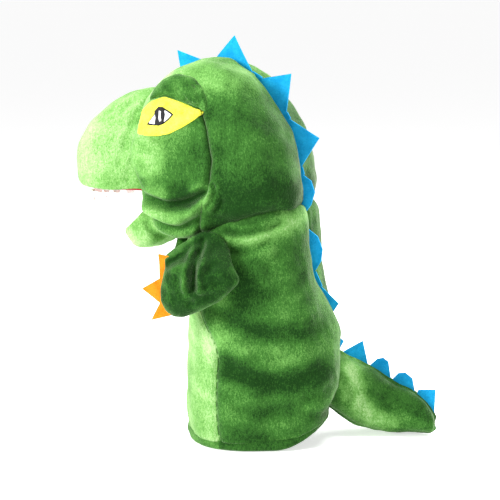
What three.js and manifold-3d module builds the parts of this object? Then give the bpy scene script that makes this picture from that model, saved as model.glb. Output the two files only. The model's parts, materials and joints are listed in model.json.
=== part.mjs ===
// A plush dinosaur hand puppet with a moving mouth, standing on its hem.
// Millimetres, +Z up. The body faces -Y, so the puppet's own left side is +X.
// The model is drawn about the hand's vertical axis and then shifted, so that the origin is
// under the middle of the whole puppet.
import * as THREE from 'three';
import { mergeVertices } from 'three/addons/utils/BufferGeometryUtils.js';
import Module from 'manifold-3d';

const wasm = await Module();
wasm.setup();

// Driving dimensions
const PLUSH = 2.5; // plush with its pile
const FELT = 1.4;
const LINING = 1.2;
const GAP = 0.3; // between pieces that touch
const SEAM = 1.1; // half the slot that the back seam leaves for the felt
const HEM_HEIGHT = 6.5;
const NECK_TOP = 134;
const SLEEVE = { halfWidth: 33, halfDepth: 26.5, bottom: 122, top: 160 };
const HEAD_BOTTOM = 143;
const HEAD_TURN = -26; // degrees about Z at rest
const TWIST = { low: 60, high: 125 }; // heights between which the body twists round with the head
const SNOUT_ROOT = -55;
const MOUTH_ROOF = 161;
const JAW_HINGE = { y: -55, z: 157 };
const JAW_DROOP = 38; // degrees that the lower jaw hangs open at rest
const SHOULDER = { x: 39, y: -39, z: 133 };
const RIGHT_ARM_LOW = 7; // pressed down under the jaw
const RIGHT_ARM_DROP = 40; // degrees about X
const RIGHT_ARM_SPREAD = 22; // degrees outwards, about the arm's own heading
const TAIL_HINGE = { y: 60, radius: 19.5 };
const STANDING_CENTRE = { x: -5, y: 3 };
// How boxy the sections are: 2 is an ellipse, and more is boxier
const SQUARENESS = { body: 2.7, head: 3.4, snout: 3, jaw: 2.6, arm: 2.3, tail: 2.4 };
const SIDES = { body: 32, snout: 28, jaw: 24, arm: 20, tail: 24 }; // of each section's polygon
const PAST_END = 5; // how far a form that hollows another runs past its end
const LEAST_HALF = 1.2; // the smallest half width that an inset leaves

// Outlines of the soft forms: each level is a rounded box section.
// Body: height, centre in Y, half width, half depth
const BODY_LEVELS = [
  [0, 2, 49.5, 46.5], [20, 3.5, 52, 48.5], [53, 5, 53, 49.5], [70, 4.5, 53, 49.5], [80, 3, 52.5, 48],
  [90, 1.2, 51.5, 46.5], [98, 0, 50.5, 45], [107, -1.3, 49.5, 43.5], [121, -1.5, 47, 41.5],
  [NECK_TOP, -1.5, 42.5, 39],
];
// Head: height, front, back, half width
const HEAD_LEVELS = [
  [HEAD_BOTTOM, -43, 32.5, 42], [150, -57, 33.5, 46.5], [165, -65, 33.5, 49], [180, -71, 32, 49.5],
  [195, -73, 28.5, 49], [210, -69, 21.5, 46.5], [225, -65, 11.5, 42], [236, -57, 3, 36.5],
  [243, -48, -8, 28.5], [247.5, -35, -18, 12],
];
// Snout: distance along Y, bottom, top, half width
// It runs on below the mouth's roof, where it is cut, so that the lips are nearly upright.
const SNOUT_LEVELS = [
  [SNOUT_ROOT, 146, 227, 30.5], [-66, 146, 228, 32], [-80, 146, 226, 33], [-94, 147, 220, 33],
  [-106, 150, 211, 31], [-113, 154, 203, 27.5], [-117.5, 160, 195.5, 20.5], [-119.5, 170, 187, 9],
];
// Lower jaw, drawn closed from its hinge: distance along Y, bottom, top, half width
const JAW_LEVELS = [
  [-3, -13, -1, 17], [-10, -17, -0.5, 20.5], [-20, -18.5, 0, 22], [-29, -17.5, 0, 21],
  [-35, -14, -1.5, 16], [-38.5, -10, -5, 7],
];
// Arm: height, centre in X and Y, half length, half thickness
const ARM_LEVELS = [
  [134, 40.5, -40, 7, 4.5], [131, 41.5, -41.5, 11, 7], [126, 44, -44, 18, 9.5],
  [118, 47.5, -45, 22, 10.5],
  [110, 49.5, -45, 25, 11], [102, 50.5, -48, 24.5, 11], [95, 50, -52, 20, 10], [90, 49, -55, 12, 7],
  [87.5, 49, -56, 5, 3],
];
const ARM_HEADING = new THREE.Vector3(0.35, 0.937, 0).normalize();
// Tail: distance along Y, bottom, top, half width
const TAIL_SEAM = 2; // half the slot, wider because the tail bends
const TAIL_BEND = 20; // how far the tip swings towards +X
const TAIL_LEVELS = [
  [40, 20, 55, 19], [50, 16.5, 54.5, 19.5], [60, 10, 50, 19.5], [72, 4.5, 44, 18.5], [84, 1.2, 37, 17],
  [96, 0.5, 30.5, 15], [108, 0.5, 24, 12], [115, 1, 18, 9.5], [119.5, 4, 12, 4],
];

// Materials
const plain = (color) => new THREE.MeshStandardMaterial({ color, roughness: 0.9, metalness: 0 });
const GREEN_PLUSH = plain('#4c8a3a');
const BLUE_FELT = plain('#1fb4ea');
const ORANGE_FELT = plain('#f7941d');
const WHITE_FELT = plain('#f4f4f0');
const YELLOW_FELT = plain('#f7f04a');
const WHITE_THREAD = plain('#ffffff');
const BLACK_THREAD = plain('#161616');
const RED_LINING = plain('#c22a2a');
const SLEEVE_CLOTH = plain('#3d7030');
const STUFFING = plain('#f2f2ee');
const BOARD = plain('#b59a72');

const puppet = new THREE.Group();
const head = new THREE.Group();
head.rotation.z = THREE.MathUtils.degToRad(HEAD_TURN);
const lowerJaw = new THREE.Group();
lowerJaw.position.set(0, JAW_HINGE.y, JAW_HINGE.z);
lowerJaw.rotation.x = THREE.MathUtils.degToRad(JAW_DROOP);
head.add(lowerJaw);
puppet.add(head);

// Solids and geometry
function solidOf(geometry) {
  const bare = geometry.clone();
  bare.deleteAttribute('normal');
  bare.deleteAttribute('uv');
  const merged = mergeVertices(bare, 1e-4);
  return new wasm.Manifold(new wasm.Mesh({
    numProp: 3,
    vertProperties: merged.attributes.position.array,
    triVerts: new Uint32Array(merged.index.array),
  }));
}

function geometryOf(solid) {
  const mesh = solid.getMesh();
  const geometry = new THREE.BufferGeometry();
  geometry.setAttribute('position', new THREE.BufferAttribute(mesh.vertProperties, 3));
  geometry.setIndex(new THREE.BufferAttribute(mesh.triVerts, 1));
  geometry.computeVertexNormals();
  return geometry;
}

function addPiece(group, name, shape, material) {
  const geometry = shape.isBufferGeometry ? shape : geometryOf(shape);
  const mesh = new THREE.Mesh(geometry, material);
  mesh.name = name;
  group.add(mesh);
  return mesh;
}

function block(x0, x1, y0, y1, z0, z1) {
  const geometry = new THREE.BoxGeometry(x1 - x0, y1 - y0, z1 - z0);
  geometry.translate((x0 + x1) / 2, (y0 + y1) / 2, (z0 + z1) / 2);
  return solidOf(geometry);
}

function upright(radius, z0, z1, x = 0, y = 0, sides = 28) {
  const geometry = new THREE.CylinderGeometry(radius, radius, z1 - z0, sides);
  geometry.rotateX(Math.PI / 2);
  geometry.translate(x, y, (z0 + z1) / 2);
  return solidOf(geometry);
}

// A section with rounded corners: squareness 2 is an ellipse, and more is boxier.
function ovalRing(centre, across, up, halfWidth, halfHeight, squareness, sides) {
  const ring = [];
  for (let i = 0; i < sides; i += 1) {
    const angle = (2 * Math.PI * i) / sides;
    const c = Math.cos(angle);
    const s = Math.sin(angle);
    const a = Math.sign(c) * Math.abs(c) ** (2 / squareness) * halfWidth;
    const b = Math.sign(s) * Math.abs(s) ** (2 / squareness) * halfHeight;
    ring.push(centre.clone().addScaledVector(across, a).addScaledVector(up, b));
  }
  return ring;
}

// A closed solid through the rings, capped with a fan at each end
function loft(rings) {
  const sides = rings[0].length;
  const points = rings.flat();
  const middle = (ring) => ring.reduce((sum, p) => sum.add(p), new THREE.Vector3()).divideScalar(sides);
  points.push(middle(rings[0]));
  points.push(middle(rings.at(-1)));
  const index = [];
  for (let r = 0; r + 1 < rings.length; r += 1) {
    for (let i = 0; i < sides; i += 1) {
      const j = (i + 1) % sides;
      const [a, b] = [r * sides + i, r * sides + j];
      index.push(a, b, b + sides, a, b + sides, a + sides);
    }
  }
  const last = (rings.length - 1) * sides;
  for (let i = 0; i < sides; i += 1) {
    const j = (i + 1) % sides;
    index.push(points.length - 2, j, i, points.length - 1, last + i, last + j);
  }
  const geometry = new THREE.BufferGeometry();
  const flat = points.flatMap((p) => p.toArray());
  geometry.setAttribute('position', new THREE.Float32BufferAttribute(flat, 3));
  geometry.setIndex(index);
  return outwards(geometry);
}

function outwards(geometry) {
  const p = geometry.attributes.position;
  const index = geometry.index.array;
  const corner = (i) => new THREE.Vector3().fromBufferAttribute(p, index[i]);
  let volume = 0;
  for (let i = 0; i < index.length; i += 3) {
    volume += corner(i).dot(corner(i + 1).cross(corner(i + 2)));
  }
  if (volume < 0) {
    for (let i = 0; i < index.length; i += 3) [index[i + 1], index[i + 2]] = [index[i + 2], index[i + 1]];
  }
  return solidOf(geometry);
}

const X = new THREE.Vector3(1, 0, 0);
const Y = new THREE.Vector3(0, 1, 0);
const Z = new THREE.Vector3(0, 0, 1);

// Sections stacked upwards. Inset shrinks them, and open continues the ends so that a cut goes through.
function twistAt(z) {
  return THREE.MathUtils.degToRad(HEAD_TURN) * THREE.MathUtils.smoothstep(z, TWIST.low, TWIST.high);
}
const twisted = (point) => point.clone().applyAxisAngle(Z, twistAt(point.z));

function bodyForm(inset, open = 0) {
  const levels = [...openStart(BODY_LEVELS, -open), ...openStart(BODY_LEVELS.slice(-1), open).slice(0, -1)];
  return loft(levels.map(([z, y, a, b]) => {
    const centre = new THREE.Vector3(0, y, z);
    return ovalRing(centre, X, Y, a - inset, b - inset, SQUARENESS.body, SIDES.body).map(twisted);
  }));
}

// A tall block that twists with the body: outlineAt gives its corners in X and Y at a height
const REACH = 70; // past the body's sides
const TWIST_STEP = 4;
function twistedBlock(outlineAt) {
  const heights = [-5];
  for (let z = TWIST.low; z < NECK_TOP + 2 * TWIST_STEP; z += TWIST_STEP) heights.push(z);
  return loft(heights.map((z) => outlineAt(z).map(([x, y]) => twisted(new THREE.Vector3(x, y, z)))));
}

function headForm(inset, open = 0) {
  const levels = openStart(HEAD_LEVELS, -open).map((level) => [...level]);
  levels.at(-1)[0] -= inset;
  return loft(levels.map(([z, front, back, a]) => {
    const b = Math.max((back - front) / 2 - inset, 2);
    const centre = new THREE.Vector3(0, (front + back) / 2, z);
    return ovalRing(centre, X, Y, Math.max(a - inset, 2), b, SQUARENESS.head, SIDES.body);
  }));
}

// Sections stacked along Y
function forwardForm(levels, inset, squareness, sides, bend = () => 0, open = 0) {
  const along = Math.sign(levels.at(-1)[0] - levels[0][0]);
  const opened = openStart(levels, -along * open);
  return loft(opened.map(([y, bottom, top, a], i) => {
    const shift = i === opened.length - 1 ? -inset : 0;
    const centre = new THREE.Vector3(bend(y), y + along * shift, (bottom + top) / 2);
    const b = Math.max((top - bottom) / 2 - inset, LEAST_HALF);
    return ovalRing(centre, X, Z, Math.max(a - inset, LEAST_HALF), b, squareness, sides);
  }));
}

// The first section repeated further out, so that a form made to cut another passes its end
function openStart(levels, offset) {
  const [first] = levels;
  return offset === 0 ? levels : [[first[0] + offset, ...first.slice(1)], ...levels];
}

// A flat outline in YZ, given thickness along X
function outlineYZ(points, x0, x1) {
  const shape = new THREE.Shape(points.map(([y, z]) => new THREE.Vector2(y, z)));
  const geometry = new THREE.ExtrudeGeometry(shape, { depth: x1 - x0, bevelEnabled: false });
  geometry.applyMatrix4(new THREE.Matrix4().makeBasis(Y, Z, X));
  geometry.translate(x0, 0, 0);
  return solidOf(geometry);
}

// Body: a belly panel, two side panels that meet at the back seam, and a folded hem
const TALL = 300;
const WIDE = 200;
const bodyShell = bodyForm(0).subtract(bodyForm(PLUSH, PAST_END));
const tailHole = upright(TAIL_HINGE.radius + 1, 9, 58, 0, TAIL_HINGE.y);
const hemSpace = block(-WIDE, WIDE, -WIDE, WIDE, -10, HEM_HEIGHT + GAP);
const bodySkin = bodyShell.subtract(hemSpace).subtract(tailHole);
const BELLY = { half: 42, topHalf: 31 };
function bellyBlock(extra) {
  return twistedBlock((z) => {
    const narrowing = THREE.MathUtils.smoothstep(z, TWIST.low, NECK_TOP);
    const half = THREE.MathUtils.lerp(BELLY.half, BELLY.topHalf, narrowing) + extra;
    return [[-half, -REACH], [half, -REACH], [half, 0], [-half, 0]];
  });
}
addPiece(puppet, 'belly_panel', bodySkin.intersect(bellyBlock(0)), GREEN_PLUSH);
const bodySides = bodySkin.subtract(bellyBlock(GAP));
for (const [side, sign] of [['left', 1], ['right', -1]]) {
  const [x0, x1] = sign > 0 ? [SEAM, REACH] : [-REACH, -SEAM];
  const half = twistedBlock(() => [[x0, -REACH], [x1, -REACH], [x1, REACH], [x0, REACH]]);
  addPiece(puppet, `${side}_side_panel`, bodySides.intersect(half), GREEN_PLUSH);
}
const HEM_FOLD = { outwards: 0.6, inwards: 0.8 };
const hem = bodyForm(-HEM_FOLD.outwards, 1).subtract(bodyForm(PLUSH + HEM_FOLD.inwards, PAST_END))
  .intersect(block(-WIDE, WIDE, -WIDE, WIDE, 0, HEM_HEIGHT));
addPiece(puppet, 'bottom_hem', hem, GREEN_PLUSH);

// The sleeve that the hand goes up, which lets the head turn and nod
function tube(halfWidth, halfDepth, z0, z1) {
  return loft([z0, z1].map((z) => ovalRing(new THREE.Vector3(0, 0, z), X, Y, halfWidth, halfDepth, 2, 32)));
}
const sleeve = tube(SLEEVE.halfWidth, SLEEVE.halfDepth, SLEEVE.bottom, SLEEVE.top)
  .subtract(tube(SLEEVE.halfWidth - LINING, SLEEVE.halfDepth - LINING, SLEEVE.bottom - 5, SLEEVE.top + 5));
addPiece(head, 'neck_sleeve', sleeve, SLEEVE_CLOTH);

// Head: hood panels that meet at the back seam, cheek panels round the snout, and a throat
const snoutWay = block(-35, 35, -WIDE, -42, 152, 234);
const jawWay = block(-29, 29, -WIDE, -38, 130, 160);
const headShell = headForm(0).subtract(headForm(PLUSH, PAST_END));
const headSkin = headShell.subtract(snoutWay).subtract(jawWay);
const cheekSeam = (offset) => [
  [-WIDE, 130], [-17 + offset, 130], [-17 + offset, 165], [-25 + offset, 205], [-31 + offset, 226],
  [-31 + offset, 232], [-WIDE, 232],
];
for (const [side, sign] of [['left', 1], ['right', -1]]) {
  const [x0, x1] = sign > 0 ? [SEAM, WIDE] : [-WIDE, -SEAM];
  const half = block(x0, x1, -WIDE, WIDE, 0, TALL);
  const cheek = outlineYZ(cheekSeam(-GAP), x0, x1);
  const cheekWide = outlineYZ(cheekSeam(0), x0, x1).add(block(x0, x1, -WIDE, -31, 231, 232 + GAP));
  addPiece(head, `${side}_cheek_panel`, headSkin.intersect(half).intersect(cheek), GREEN_PLUSH);
  addPiece(head, `${side}_hood_panel`, headSkin.intersect(half).subtract(cheekWide), GREEN_PLUSH);
}
const throat = upright(41, HEAD_BOTTOM, 155).subtract(upright(38.5, HEAD_BOTTOM - 5, 160))
  .intersect(block(-13, 13, -60, 0, 0, TALL));
addPiece(head, 'throat_panel', throat, GREEN_PLUSH);

// Stuffing at the crown and the back of the head, round the space for the hand
const biggest = (solid) => solid.decompose().sort((a, b) => b.volume() - a.volume())[0];
const wrist = tube(37, 31, 120, 172);
const palm = tube(34, 24, 120, 222);
const fingers = block(-31, 31, -WIDE, 0, 120, 222);
const face = block(-WIDE, WIDE, -WIDE, -38, 0, TALL);
const stuffing = headForm(PLUSH + 1.2).subtract(wrist).subtract(palm).subtract(fingers).subtract(face);
addPiece(head, 'head_stuffing', biggest(stuffing), STUFFING);

// Eyes: a felt leaf, an embroidered white and a black pupil, each lying on the one below
const LEAF = [
  [-66, 214], [-57, 221], [-48, 224.5], [-34, 220.3], [-20.5, 215.4], [-26, 210.7], [-34, 206], [-43, 201.5],
  [-51, 200], [-66, 200.6],
];
const WHITE = [[-58, 206.5], [-53, 214], [-48.5, 218], [-40, 213.4], [-47, 207]];
const PUPIL = [[-52, 216], [-46.5, 216], [-46.5, 207.6], [-52, 207.4]];
function patch(outline, low, high, sign) {
  const [x0, x1] = sign > 0 ? [36.5, WIDE] : [-WIDE, -36.5];
  return headForm(-high).subtract(headForm(-low)).intersect(outlineYZ(outline, x0, x1));
}
const STITCHING = { white: 0.8, pupil: 0.6 }; // thickness
const WHITE_LOW = 2 * GAP + FELT;
const PUPIL_LOW = WHITE_LOW + STITCHING.white + GAP;
for (const [side, sign] of [['left', 1], ['right', -1]]) {
  addPiece(head, `${side}_eye_patch`, patch(LEAF, GAP, GAP + FELT, sign), YELLOW_FELT);
  addPiece(head, `${side}_eye`, patch(WHITE, WHITE_LOW, WHITE_LOW + STITCHING.white, sign), WHITE_THREAD);
  addPiece(head, `${side}_pupil`, patch(PUPIL, PUPIL_LOW, PUPIL_LOW + STITCHING.pupil, sign), BLACK_THREAD);
}

// Brows: a stuffed roll over each eye
const BROW_PATH = [[35, -60, 225], [37, -52, 232], [39, -38, 233], [44, -24, 222]];
const BROW_RADII = { ends: 3, middle: 6 };
for (const [side, sign] of [['left', 1], ['right', -1]]) {
  const path = new THREE.CatmullRomCurve3(BROW_PATH.map(([x, y, z]) => new THREE.Vector3(x * sign, y, z)));
  const rings = [];
  for (let i = 0; i <= 6; i += 1) {
    const t = i / 6;
    const along = path.getTangentAt(t);
    const across = new THREE.Vector3().crossVectors(along, Z).normalize();
    const up = new THREE.Vector3().crossVectors(across, along);
    const radius = THREE.MathUtils.lerp(BROW_RADII.ends, BROW_RADII.middle, Math.sin(Math.PI * t));
    rings.push(ovalRing(path.getPointAt(t), across, up, radius, radius, 2, 12));
  }
  const lid = headForm(-2 * GAP - FELT - 2.5).intersect(outlineYZ(LEAF, -WIDE, WIDE)); // clear of the eye
  addPiece(head, `${side}_brow`, loft(rings).subtract(headForm(-GAP)).subtract(lid), GREEN_PLUSH);
}

// Upper jaw: a stuffed snout with a board, a red lining and teeth under it, and a pocket for the fingers
const ROOF_STACK = 3.5; // lining, board and gaps
const snoutForm = (inset, open = 0) =>
  forwardForm(SNOUT_LEVELS, inset, SQUARENESS.snout, SIDES.snout, undefined, open);
const snoutOuter = snoutForm(0);
const snoutInner = snoutForm(PLUSH, PAST_END);
const aboveRoof = block(-WIDE, WIDE, -WIDE, 0, MOUTH_ROOF + ROOF_STACK, TALL);
const snoutSkin = snoutOuter.subtract(snoutInner).intersect(aboveRoof);
const SNOUT_TOP = { half: 24, front: -109, low: 196 }; // the top panel's seams
const snoutTop = block(-SNOUT_TOP.half, SNOUT_TOP.half, SNOUT_TOP.front, 0, SNOUT_TOP.low, TALL);
const snoutTopWide = block(-SNOUT_TOP.half - GAP, SNOUT_TOP.half + GAP, SNOUT_TOP.front - GAP, 0,
  SNOUT_TOP.low, TALL);
addPiece(head, 'snout_top_panel', snoutSkin.intersect(snoutTop), GREEN_PLUSH);
const snoutSides = snoutSkin.subtract(snoutTopWide);
for (const [side, sign] of [['left', 1], ['right', -1]]) {
  const [x0, x1] = sign > 0 ? [GAP / 2, WIDE] : [-WIDE, -GAP / 2];
  addPiece(head, `${side}_snout_panel`, snoutSides.intersect(block(x0, x1, -WIDE, 0, 0, TALL)), GREEN_PLUSH);
}
// A pocket open at its back, towards the palm
function pocket({ half, front, back, low, high }) {
  const inside = half - LINING;
  return block(-half, half, front, back, low, high)
    .subtract(block(-inside, inside, front + LINING, back + WIDE, low + LINING, high - LINING));
}
const FINGERS = { half: 25, front: -99, back: -45, low: MOUTH_ROOF + ROOF_STACK + 0.7, high: 187 };
addPiece(head, 'finger_pocket', pocket(FINGERS), SLEEVE_CLOTH);
const snoutStuffing = snoutForm(PLUSH + 2 * GAP).intersect(aboveRoof).intersect(snoutInner)
  .subtract(block(-FINGERS.half - GAP, FINGERS.half + GAP, FINGERS.front - GAP, 0, 0, FINGERS.high + GAP));
addPiece(head, 'snout_stuffing', snoutStuffing, STUFFING);
const mouthOutline = (inset, back, front, half) => {
  const shape = new THREE.Shape();
  shape.moveTo(half - inset, back);
  shape.lineTo(-half + inset, back);
  shape.lineTo(-half + inset, front + 20);
  shape.bezierCurveTo(-half + inset, front + 3, -half * 0.5, front + inset, 0, front + inset);
  shape.bezierCurveTo(half * 0.5, front + inset, half - inset, front + 3, half - inset, front + 20);
  shape.closePath();
  return shape;
};
function plate(shape, z0, z1) {
  const options = { depth: z1 - z0, bevelEnabled: false, curveSegments: 6 };
  const geometry = new THREE.ExtrudeGeometry(shape, options);
  geometry.translate(0, 0, z0);
  return solidOf(geometry);
}
const roof = mouthOutline(0, SNOUT_ROOT, -113, 30);
addPiece(head, 'upper_mouth_board', plate(roof, MOUTH_ROOF + 1.5, MOUTH_ROOF + 3.2), BOARD);
addPiece(head, 'upper_mouth_lining', plate(roof, MOUTH_ROOF, MOUTH_ROOF + 1.5 - GAP), RED_LINING);

// A zigzag strip of teeth that follows the mouth's edge
function teethStrip(shape, count, z0, bandTop, toothTip, thickness) {
  const edge = shape.getSpacedPoints(200);
  const start = edge.findIndex((p) => p.x < 0 && Math.abs(p.x) > 1);
  const along = edge.slice(start + 1).filter((p) => p.y < edge[start].y - 6);
  const curve = new THREE.CatmullRomCurve3(along.map((p) => new THREE.Vector3(p.x, p.y, 0)));
  const inner = [];
  const outer = [];
  const steps = count * 2;
  for (let i = 0; i <= steps; i += 1) {
    const point = curve.getPointAt(i / steps);
    const tangent = curve.getTangentAt(i / steps);
    const side = new THREE.Vector3(-tangent.y, tangent.x, 0).multiplyScalar(thickness / 2);
    inner.push(point.clone().add(side));
    outer.push(point.clone().sub(side));
  }
  const tipAt = (i) => (i % 2 === 1 ? toothTip : z0);
  const rings = inner.map((p, i) => [
    new THREE.Vector3(p.x, p.y, bandTop), new THREE.Vector3(outer[i].x, outer[i].y, bandTop),
    new THREE.Vector3(outer[i].x, outer[i].y, tipAt(i)), new THREE.Vector3(p.x, p.y, tipAt(i)),
  ]);
  return loft(rings);
}
const upperTeethLine = mouthOutline(1.5, SNOUT_ROOT, -113, 30);
addPiece(head, 'upper_teeth', teethStrip(upperTeethLine, 13, MOUTH_ROOF - 2, MOUTH_ROOF - GAP,
  MOUTH_ROOF - 9, FELT), WHITE_FELT);

// Lower jaw: the same build, smaller, with a pocket for the thumb
const jawTop = -3.4;
const jawForm = (inset, open = 0) =>
  forwardForm(JAW_LEVELS, inset, SQUARENESS.jaw, SIDES.jaw, undefined, open);
const belowFloor = block(-WIDE, WIDE, -WIDE, 20, -40, jawTop);
const jawSkin = jawForm(0).subtract(jawForm(PLUSH, PAST_END)).intersect(belowFloor);
addPiece(lowerJaw, 'lower_jaw_skin', jawSkin, GREEN_PLUSH);
const THUMB = { half: 10, front: -28, back: -10, low: -14, high: jawTop - GAP };
addPiece(lowerJaw, 'thumb_pocket', pocket(THUMB), SLEEVE_CLOTH);
const jawStuffing = jawForm(PLUSH + 2 * GAP).intersect(belowFloor)
  .subtract(block(-THUMB.half - GAP, THUMB.half + GAP, THUMB.front - GAP, 5, THUMB.low - GAP, 5));
addPiece(lowerJaw, 'lower_jaw_stuffing', jawStuffing, STUFFING);
const floorOfMouth = mouthOutline(0, -4, -36, 20);
addPiece(lowerJaw, 'lower_mouth_board', plate(floorOfMouth, jawTop + GAP, jawTop + 1.8), BOARD);
addPiece(lowerJaw, 'lower_mouth_lining', plate(floorOfMouth, jawTop + 1.8 + GAP, jawTop + 3.2), RED_LINING);
const lowerTeethLine = mouthOutline(1.5, -4, -36, 20);
const lowerTeeth = teethStrip(lowerTeethLine, 7, 1.6, jawTop + 3.2 + GAP, 6.5, FELT);
addPiece(lowerJaw, 'lower_teeth', lowerTeeth, WHITE_FELT);

// Arms: stuffed paddles sewn to the shoulder, with three felt claws each
function armForm(inset, open = 0) {
  const levels = openStart(ARM_LEVELS, open);
  return loft(levels.map(([z, x, y, a, b], i) => {
    const shift = i === levels.length - 1 ? inset : 0;
    const centre = new THREE.Vector3(x, y, z + shift);
    const across = new THREE.Vector3().crossVectors(ARM_HEADING, Z);
    return ovalRing(centre, ARM_HEADING, across, Math.max(a - inset, 1), Math.max(b - inset, 1),
      SQUARENESS.arm, SIDES.arm);
  }));
}
// Claws: root on the hand's front edge, then the tip, in Y and Z
const CLAWS = [
  { root: [-64, 119], tip: [-79, 127], half: 4.5 },
  { root: [-66, 106], tip: [-84, 105], half: 5.5 },
  { root: [-64, 95], tip: [-78, 87], half: 4.5 },
];
function clawOutline({ root, tip, half }) {
  const along = new THREE.Vector2(tip[0] - root[0], tip[1] - root[1]).normalize();
  const wide = new THREE.Vector2(-along.y, along.x).multiplyScalar(half);
  return [[root[0] + wide.x, root[1] + wide.y], tip, [root[0] - wide.x, root[1] - wide.y]];
}
// The right arm hangs lower, clear of the open jaw.
const keep = (solid) => solid;
const mirrorAndLower = (solid) => solid.mirror([1, 0, 0])
  .translate([SHOULDER.x, -SHOULDER.y, -SHOULDER.z]).rotate([RIGHT_ARM_DROP, RIGHT_ARM_SPREAD, 0])
  .translate([-SHOULDER.x, SHOULDER.y, SHOULDER.z - RIGHT_ARM_LOW]);
const armSkin = armForm(0).subtract(armForm(PLUSH, PAST_END));
const armStuffing = armForm(PLUSH + 2 * GAP);
for (const [side, flip] of [['left', keep], ['right', mirrorAndLower]]) {
  addPiece(puppet, `${side}_arm_skin`, flip(armSkin), GREEN_PLUSH);
  addPiece(puppet, `${side}_arm_stuffing`, flip(armStuffing), STUFFING);
  CLAWS.forEach((claw, i) => {
    const heading = Math.atan2(ARM_HEADING.x, ARM_HEADING.y);
    const felt = outlineYZ(clawOutline(claw), -FELT / 2, FELT / 2)
      .translate([0, 50, 0]).rotate([0, 0, -THREE.MathUtils.radToDeg(heading)]).translate([50, -50, 0]);
    addPiece(puppet, `${side}_claw_${i + 1}`, flip(felt.subtract(armForm(-GAP))), ORANGE_FELT);
  });
}

// Tail: stuffed, pinched to a tip, with a rounded root that turns in the back of the body
const tailBend = (y) => TAIL_BEND * (Math.max(y - TAIL_HINGE.y, 0) / 58) ** 2;
const tailRoot = upright(TAIL_HINGE.radius, 0, TALL, 0, TAIL_HINGE.y, 32)
  .add(block(-WIDE, WIDE, TAIL_HINGE.y, WIDE, 0, TALL));
const tailLoft = (inset, open = 0) =>
  forwardForm(TAIL_LEVELS, inset, SQUARENESS.tail, SIDES.tail, tailBend, open);
const tailForm = (inset) => tailLoft(inset).intersect(tailRoot);
const tailShell = tailForm(0).subtract(tailLoft(PLUSH, PAST_END));
const besideSeam = (sign) => loft([30, 50, 60, 75, 90, 105, 130].map((y) => {
  const near = tailBend(y) + sign * TAIL_SEAM;
  return [[near, -50], [near + sign * WIDE, -50], [near + sign * WIDE, TALL], [near, TALL]]
    .map(([x, z]) => new THREE.Vector3(x, y, z));
}));
addPiece(puppet, 'left_tail_panel', tailShell.intersect(besideSeam(1)), GREEN_PLUSH);
addPiece(puppet, 'right_tail_panel', tailShell.intersect(besideSeam(-1)), GREEN_PLUSH);
addPiece(puppet, 'tail_stuffing', tailForm(PLUSH + GAP), STUFFING);

// Spikes: felt triangles standing in the back seam
// Each row: both ends of the base and the tip, in Y and Z in the seam's own plane
const HEAD_SPIKES = [
  [[-52, 242], [-54, 252], [-36, 246]], [[-29, 246.5], [-16.4, 261.5], [-3.5, 238.5]],
  [[3.5, 235], [23.4, 238], [19.5, 213.5]], [[22, 209], [41.5, 197], [30.5, 178.5]],
  [[32.2, 173.5], [41, 161], [33.2, 147.5]],
];
const BODY_SPIKES = [
  [[37.6, 133], [48, 121], [42, 108]], [[44, 101], [54.5, 88], [50.5, 79]],
  [[53.5, 67], [61, 62], [54.5, 56.5]],
];
const TAIL_SPIKES = [
  [[58, 51.2], [71.5, 60.5], [74, 42.8]], [[76, 41.7], [86, 50], [89.5, 34]],
  [[91.5, 33], [98.5, 43.5], [105, 25.7]], [[107, 24.6], [117, 32], [116.5, 16.5]],
];
const ROOT_DEPTH = 1.5;
function spikeFelt([first, tip, last]) {
  const along = new THREE.Vector2(last[0] - first[0], last[1] - first[1]).normalize();
  let inwards = new THREE.Vector2(-along.y, along.x);
  if (inwards.dot(new THREE.Vector2(tip[0] - first[0], tip[1] - first[1])) > 0) inwards = inwards.negate();
  const sunk = (p) => [p[0] + inwards.x * ROOT_DEPTH, p[1] + inwards.y * ROOT_DEPTH];
  return outlineYZ([sunk(first), first, tip, last, sunk(last)], -FELT / 2, FELT / 2);
}
HEAD_SPIKES.forEach((row, i) => {
  addPiece(head, `back_spike_${i + 1}`, spikeFelt(row).subtract(headForm(ROOT_DEPTH)), BLUE_FELT);
});
BODY_SPIKES.forEach((row, i) => {
  const turn = THREE.MathUtils.radToDeg(twistAt(row[1][1]));
  const felt = spikeFelt(row).rotate([0, 0, turn]).subtract(bodyForm(-GAP)).subtract(tailForm(-GAP));
  addPiece(puppet, `back_spike_${i + 1 + HEAD_SPIKES.length}`, felt, BLUE_FELT);
});
TAIL_SPIKES.forEach((row, i) => {
  const middleY = (row[0][0] + row[2][0]) / 2;
  const turn = -Math.atan(2 * TAIL_BEND * (middleY - TAIL_HINGE.y) / 58 ** 2);
  const felt = spikeFelt(row).translate([0, -middleY, 0]).rotate([0, 0, THREE.MathUtils.radToDeg(turn)])
    .translate([tailBend(middleY), middleY, 0]).subtract(tailForm(-GAP));
  addPiece(puppet, `tail_spike_${i + 1}`, felt, BLUE_FELT);
});

puppet.position.set(-STANDING_CENTRE.x, -STANDING_CENTRE.y, 0);
puppet.updateMatrixWorld(true);
export default puppet;
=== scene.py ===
# A plush dinosaur hand puppet with a moving mouth: skins, felt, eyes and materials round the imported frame.
# Shapes are worked out in millimetres in the drawing frame, whose Z axis is the neck's turning axis,
# and are then placed in the row frame in metres.
import json
import math

import bmesh
import bpy
import numpy as np
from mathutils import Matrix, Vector
from mathutils.bvhtree import BVHTree


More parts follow.
